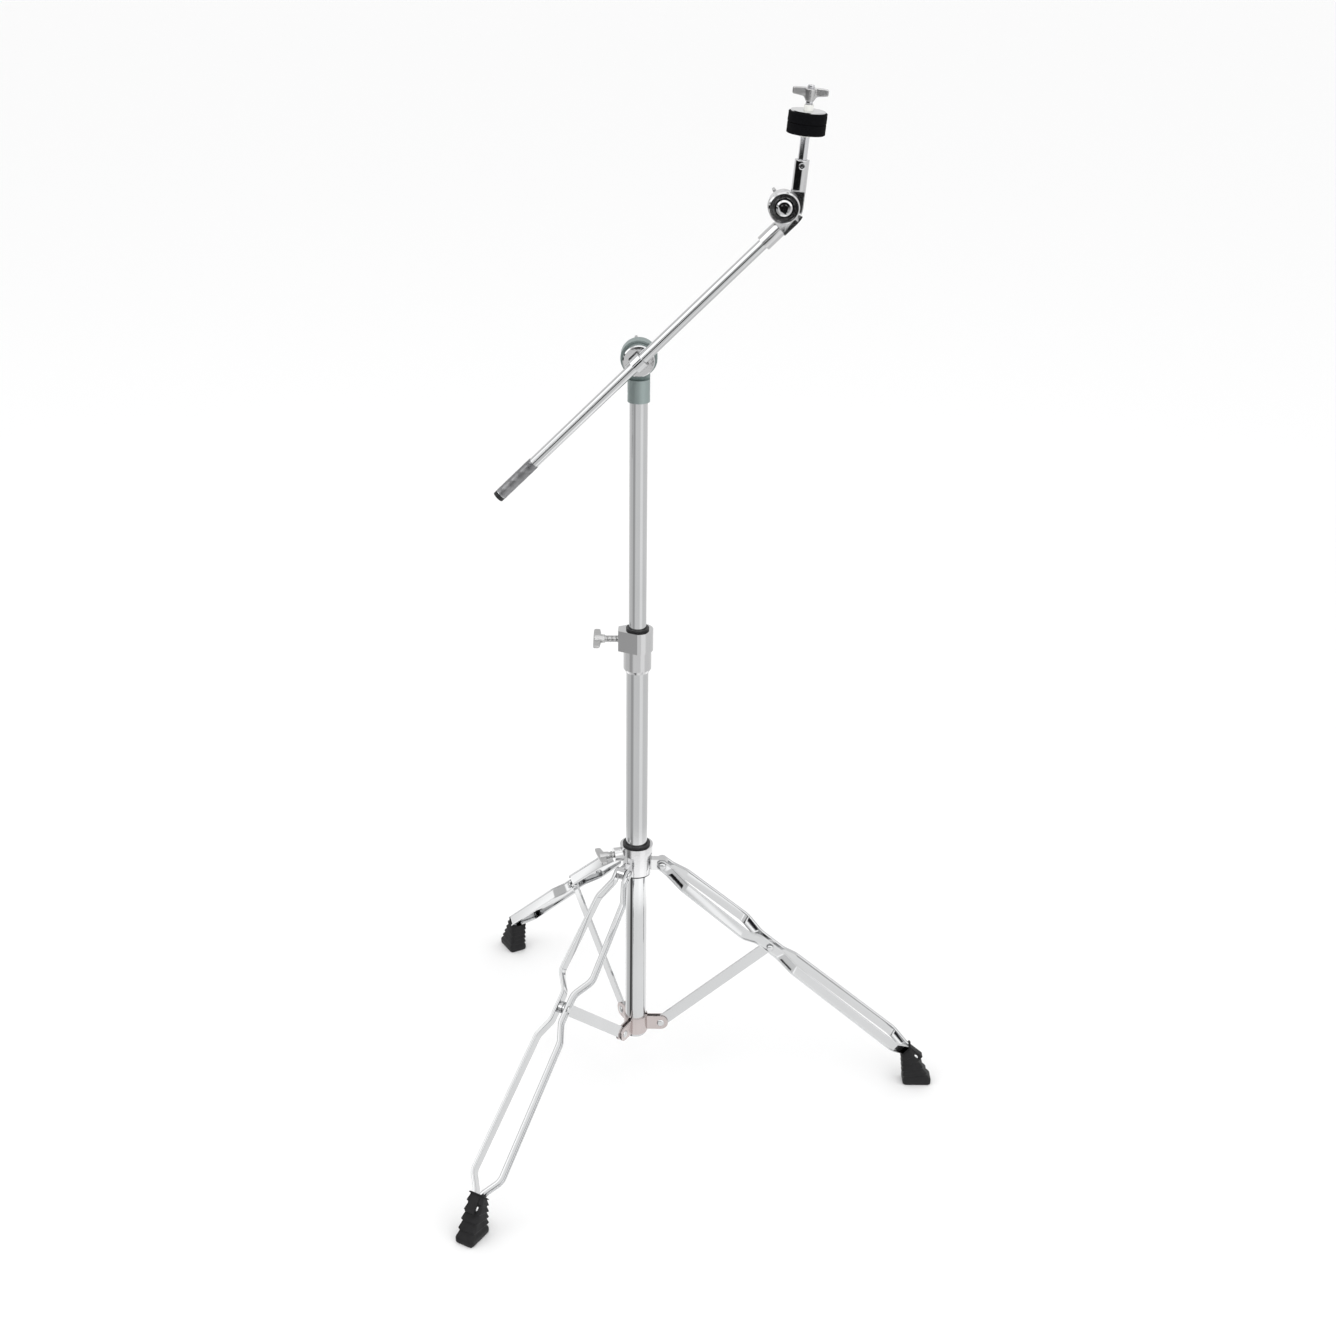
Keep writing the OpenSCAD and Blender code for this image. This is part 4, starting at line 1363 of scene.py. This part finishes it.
class STAND_OT_stage(bpy.types.Operator):
    """Lay the pale floor, light it softly and set the camera"""

    bl_idname = "stand.stage"
    bl_label = "Stage"

    def execute(self, context):
        scene = context.scene
        stage = scene.stand_stage
        floor = square("floor", FLOOR_HALF, 0)
        paper, _, shader, _ = finish_tree("paper")
        shader.inputs["Base Color"].default_value = (*stage.floor, 1)
        shader.inputs["Roughness"].default_value = 0.9
        shader.inputs["Specular IOR Level"].default_value = 0.0
        floor.data.materials.append(paper)
        floor.visible_glossy = False

        mirrored = square("studio_floor", FLOOR_HALF, -0.002)
        mirrored.data.materials.append(glow("studio_floor", self.studio_floor))
        mirrored.visible_transmission = False
        mirrored.visible_camera = False
        mirrored.visible_diffuse = False
        mirrored.visible_shadow = False

        world = bpy.data.worlds.new("studio")
        scene.world = world
        world.use_nodes = True
        self.room(world.node_tree, stage.world)

        for name, place, size, power in (
            ("overhead", (0.3, -0.5, 3.2), 2.6, 1.0),
            ("left_soft", (-2.4, -0.9, 2.4), 1.6, 0.35),
        ):
            light = bpy.data.lights.new(name, "AREA")
            light.shape = "SQUARE"
            light.size = size
            light.energy = stage.overhead * power
            lamp = bpy.data.objects.new(name, light)
            lamp.location = place
            aim = Vector((0, 0, 0.6)) - Vector(place)
            lamp.rotation_euler = aim.to_track_quat("-Z", "Y").to_euler()
            scene.collection.objects.link(lamp)

        lens = bpy.data.cameras.new("camera")
        lens.sensor_width = 36
        lens.lens = stage.lens
        camera = bpy.data.objects.new("camera", lens)
        camera.location = (stage.sideways, -stage.distance, stage.height)
        look = Matrix.Rotation(math.pi / 2 - stage.pitch, 4, "X")
        camera.rotation_euler = (look @ Matrix.Rotation(stage.roll, 4, "Z")).to_euler()
        scene.collection.objects.link(camera)
        scene.camera = camera
        scene.view_settings.view_transform = "Standard"
        return {"FINISHED"}

    def studio_floor(self, tree, light):
        """What the chrome sees below it: bright paper round the stand, a dim room to the left
        and behind the camera, and a pale one to the right."""
        where = tree.nodes.new("ShaderNodeTexCoord").outputs["Object"]
        away = add(tree, "ShaderNodeVectorMath", {0: where}, operation="LENGTH").outputs["Value"]
        heading = add(tree, "ShaderNodeVectorMath", {0: where}, operation="NORMALIZE").outputs[0]
        parts = add(tree, "ShaderNodeSeparateXYZ", {0: heading})
        front = self.rings(tree, away, (0.66, 0.90, 0.53, 0.006))
        left = self.rings(tree, away, (0.04, 0.05, 0.30, 0.006))
        right = self.rings(tree, away, (0.68, 0.92, 0.53, 0.60))
        stripe = self.rings(tree, away, (0.68, 1.0, 0.68, 0.60))
        turning = ranged(tree, parts.outputs["X"], 1, 0, -0.72, -0.50)
        beside = ranged(tree, parts.outputs["X"], 0.35, 1, -0.97, -0.88)
        leftness = maths(tree, "MULTIPLY", turning, beside)
        rightness = ranged(tree, parts.outputs["X"], 0, 1, 0.12, 0.34)
        behind = ranged(tree, parts.outputs["Y"], 0, 1, 0.2, 0.5)
        pale = maths(tree, "MAXIMUM", rightness, behind)
        rising = ranged(tree, parts.outputs["X"], 0, 1, 0.40, 0.50)
        falling = ranged(tree, parts.outputs["X"], 1, 0, 0.84, 0.93)
        ahead = ranged(tree, parts.outputs["Y"], 1, 0, -0.2, 0.1)
        sector = maths(tree, "MULTIPLY", rising, falling)
        sector = maths(tree, "MULTIPLY", sector, ahead)
        tone = self.mixed(tree, leftness, front, left)
        tone = self.mixed(tree, pale, tone, right)
        tone = self.mixed(tree, sector, tone, stripe)
        tree.links.new(tone, light.inputs["Color"])
        light.inputs["Strength"].default_value = MIRROR_GLOW

    def rings(self, tree, away, tones):
        """Brightness of the floor by distance: near, a ring, middle distance and far."""
        ramp = tree.nodes.new("ShaderNodeValToRGB")
        tree.links.new(ranged(tree, away, 0, 1, 0, 6), ramp.inputs[0])
        near, ring, middle, far = ((tone, tone, tone, 1) for tone in tones)
        stops = ramp.color_ramp.elements
        stops[0].position, stops[0].color = 0.07, near
        stops[1].position, stops[1].color = 0.79, far
        for at, tone in ((0.080, ring), (0.094, ring), (0.112, middle), (0.71, middle)):
            stops.new(at).color = tone
        return ramp.outputs[0]

    def mixed(self, tree, value, one, other):
        """Two colour sockets mixed by a value."""
        mix = add(tree, "ShaderNodeMix", data_type="RGBA")
        for source, socket in ((value, 0), (one, 6), (other, 7)):
            tree.links.new(source, mix.inputs[socket])
        return mix.outputs[2]

    def room(self, tree, strength):
        """Soft white light all round, brighter high in front, with a dark strip low down on
        the near left."""
        tree.nodes.clear()
        where = tree.nodes.new("ShaderNodeTexCoord").outputs["Generated"]
        parts = add(tree, "ShaderNodeSeparateXYZ", {0: where})
        under = ranged(tree, parts.outputs["Z"], 1, 0, 0.25, 0.30)
        over = ranged(tree, parts.outputs["Z"], 0, 1, 0.10, 0.14)
        strip = maths(tree, "MULTIPLY", under, over)
        horizon = ranged(tree, parts.outputs["Z"], 1, 0, 0.01, 0.04)
        low = maths(tree, "MAXIMUM", strip, horizon)
        near = ranged(tree, parts.outputs["Y"], 1, 0, 0.0, 0.5)
        left = ranged(tree, parts.outputs["X"], 1, 0, 0.12, 0.34)
        band = maths(tree, "MULTIPLY", low, near)
        dark = maths(tree, "MULTIPLY", band, left)
        front = ranged(tree, parts.outputs["Y"], 1, 0, -0.35, 0.1)
        high = ranged(tree, parts.outputs["Z"], 0, 1, 0.04, 0.1)
        lamp = maths(tree, "MULTIPLY", front, high)
        zenith = ranged(tree, parts.outputs["Z"], 1, 0, 0.55, 0.85)
        softbox = maths(tree, "MULTIPLY", lamp, zenith)
        bright = tinted(tree, softbox, (0.50, 0.50, 0.50), (1, 1, 1))
        dim = add(tree, "ShaderNodeRGB")
        dim.outputs[0].default_value = (0.012, 0.012, 0.014, 1)
        tone = self.mixed(tree, dark, bright, dim.outputs[0])
        sky = add(tree, "ShaderNodeBackground", {"Color": tone, "Strength": strength})
        output = tree.nodes.new("ShaderNodeOutputWorld")
        tree.links.new(sky.outputs[0], output.inputs[0])


class STAND_PT_panel(bpy.types.Panel):
    """Sidebar panel that lists the stand's steps"""

    bl_idname = "STAND_PT_panel"
    bl_label = "Cymbal boom stand"
    bl_space_type = "VIEW_3D"
    bl_region_type = "UI"
    bl_category = "Stand"

    def draw(self, context):
        for step in STEPS:
            self.layout.operator(step.bl_idname)


STEPS = (
    STAND_OT_tubes,
    STAND_OT_boom,
    STAND_OT_legs,
    STAND_OT_feet,
    STAND_OT_stays,
    STAND_OT_bracket,
    STAND_OT_rivets,
    STAND_OT_castings,
    STAND_OT_tilters,
    STAND_OT_wings,
    STAND_OT_post,
    STAND_OT_felts,
    STAND_OT_stage,
)
GROUPS = (
    (StandLegSizes, "stand_legs"),
    (StandHardwareSizes, "stand_hardware"),
    (StandColours, "stand_colours"),
    (StandStage, "stand_stage"),
)


def register():
    for group, label in GROUPS:
        bpy.utils.register_class(group)
        setattr(bpy.types.Scene, label, bpy.props.PointerProperty(type=group))
    for step in STEPS:
        bpy.utils.register_class(step)
    bpy.utils.register_class(STAND_PT_panel)


def unregister():
    bpy.utils.unregister_class(STAND_PT_panel)
    for step in reversed(STEPS):
        bpy.utils.unregister_class(step)
    for group, label in reversed(GROUPS):
        delattr(bpy.types.Scene, label)
        bpy.utils.unregister_class(group)


def main():
    register()
    for step in STEPS:
        family, action = step.bl_idname.split(".")
        getattr(getattr(bpy.ops, family), action)()


if __name__ == "__main__":
    main()
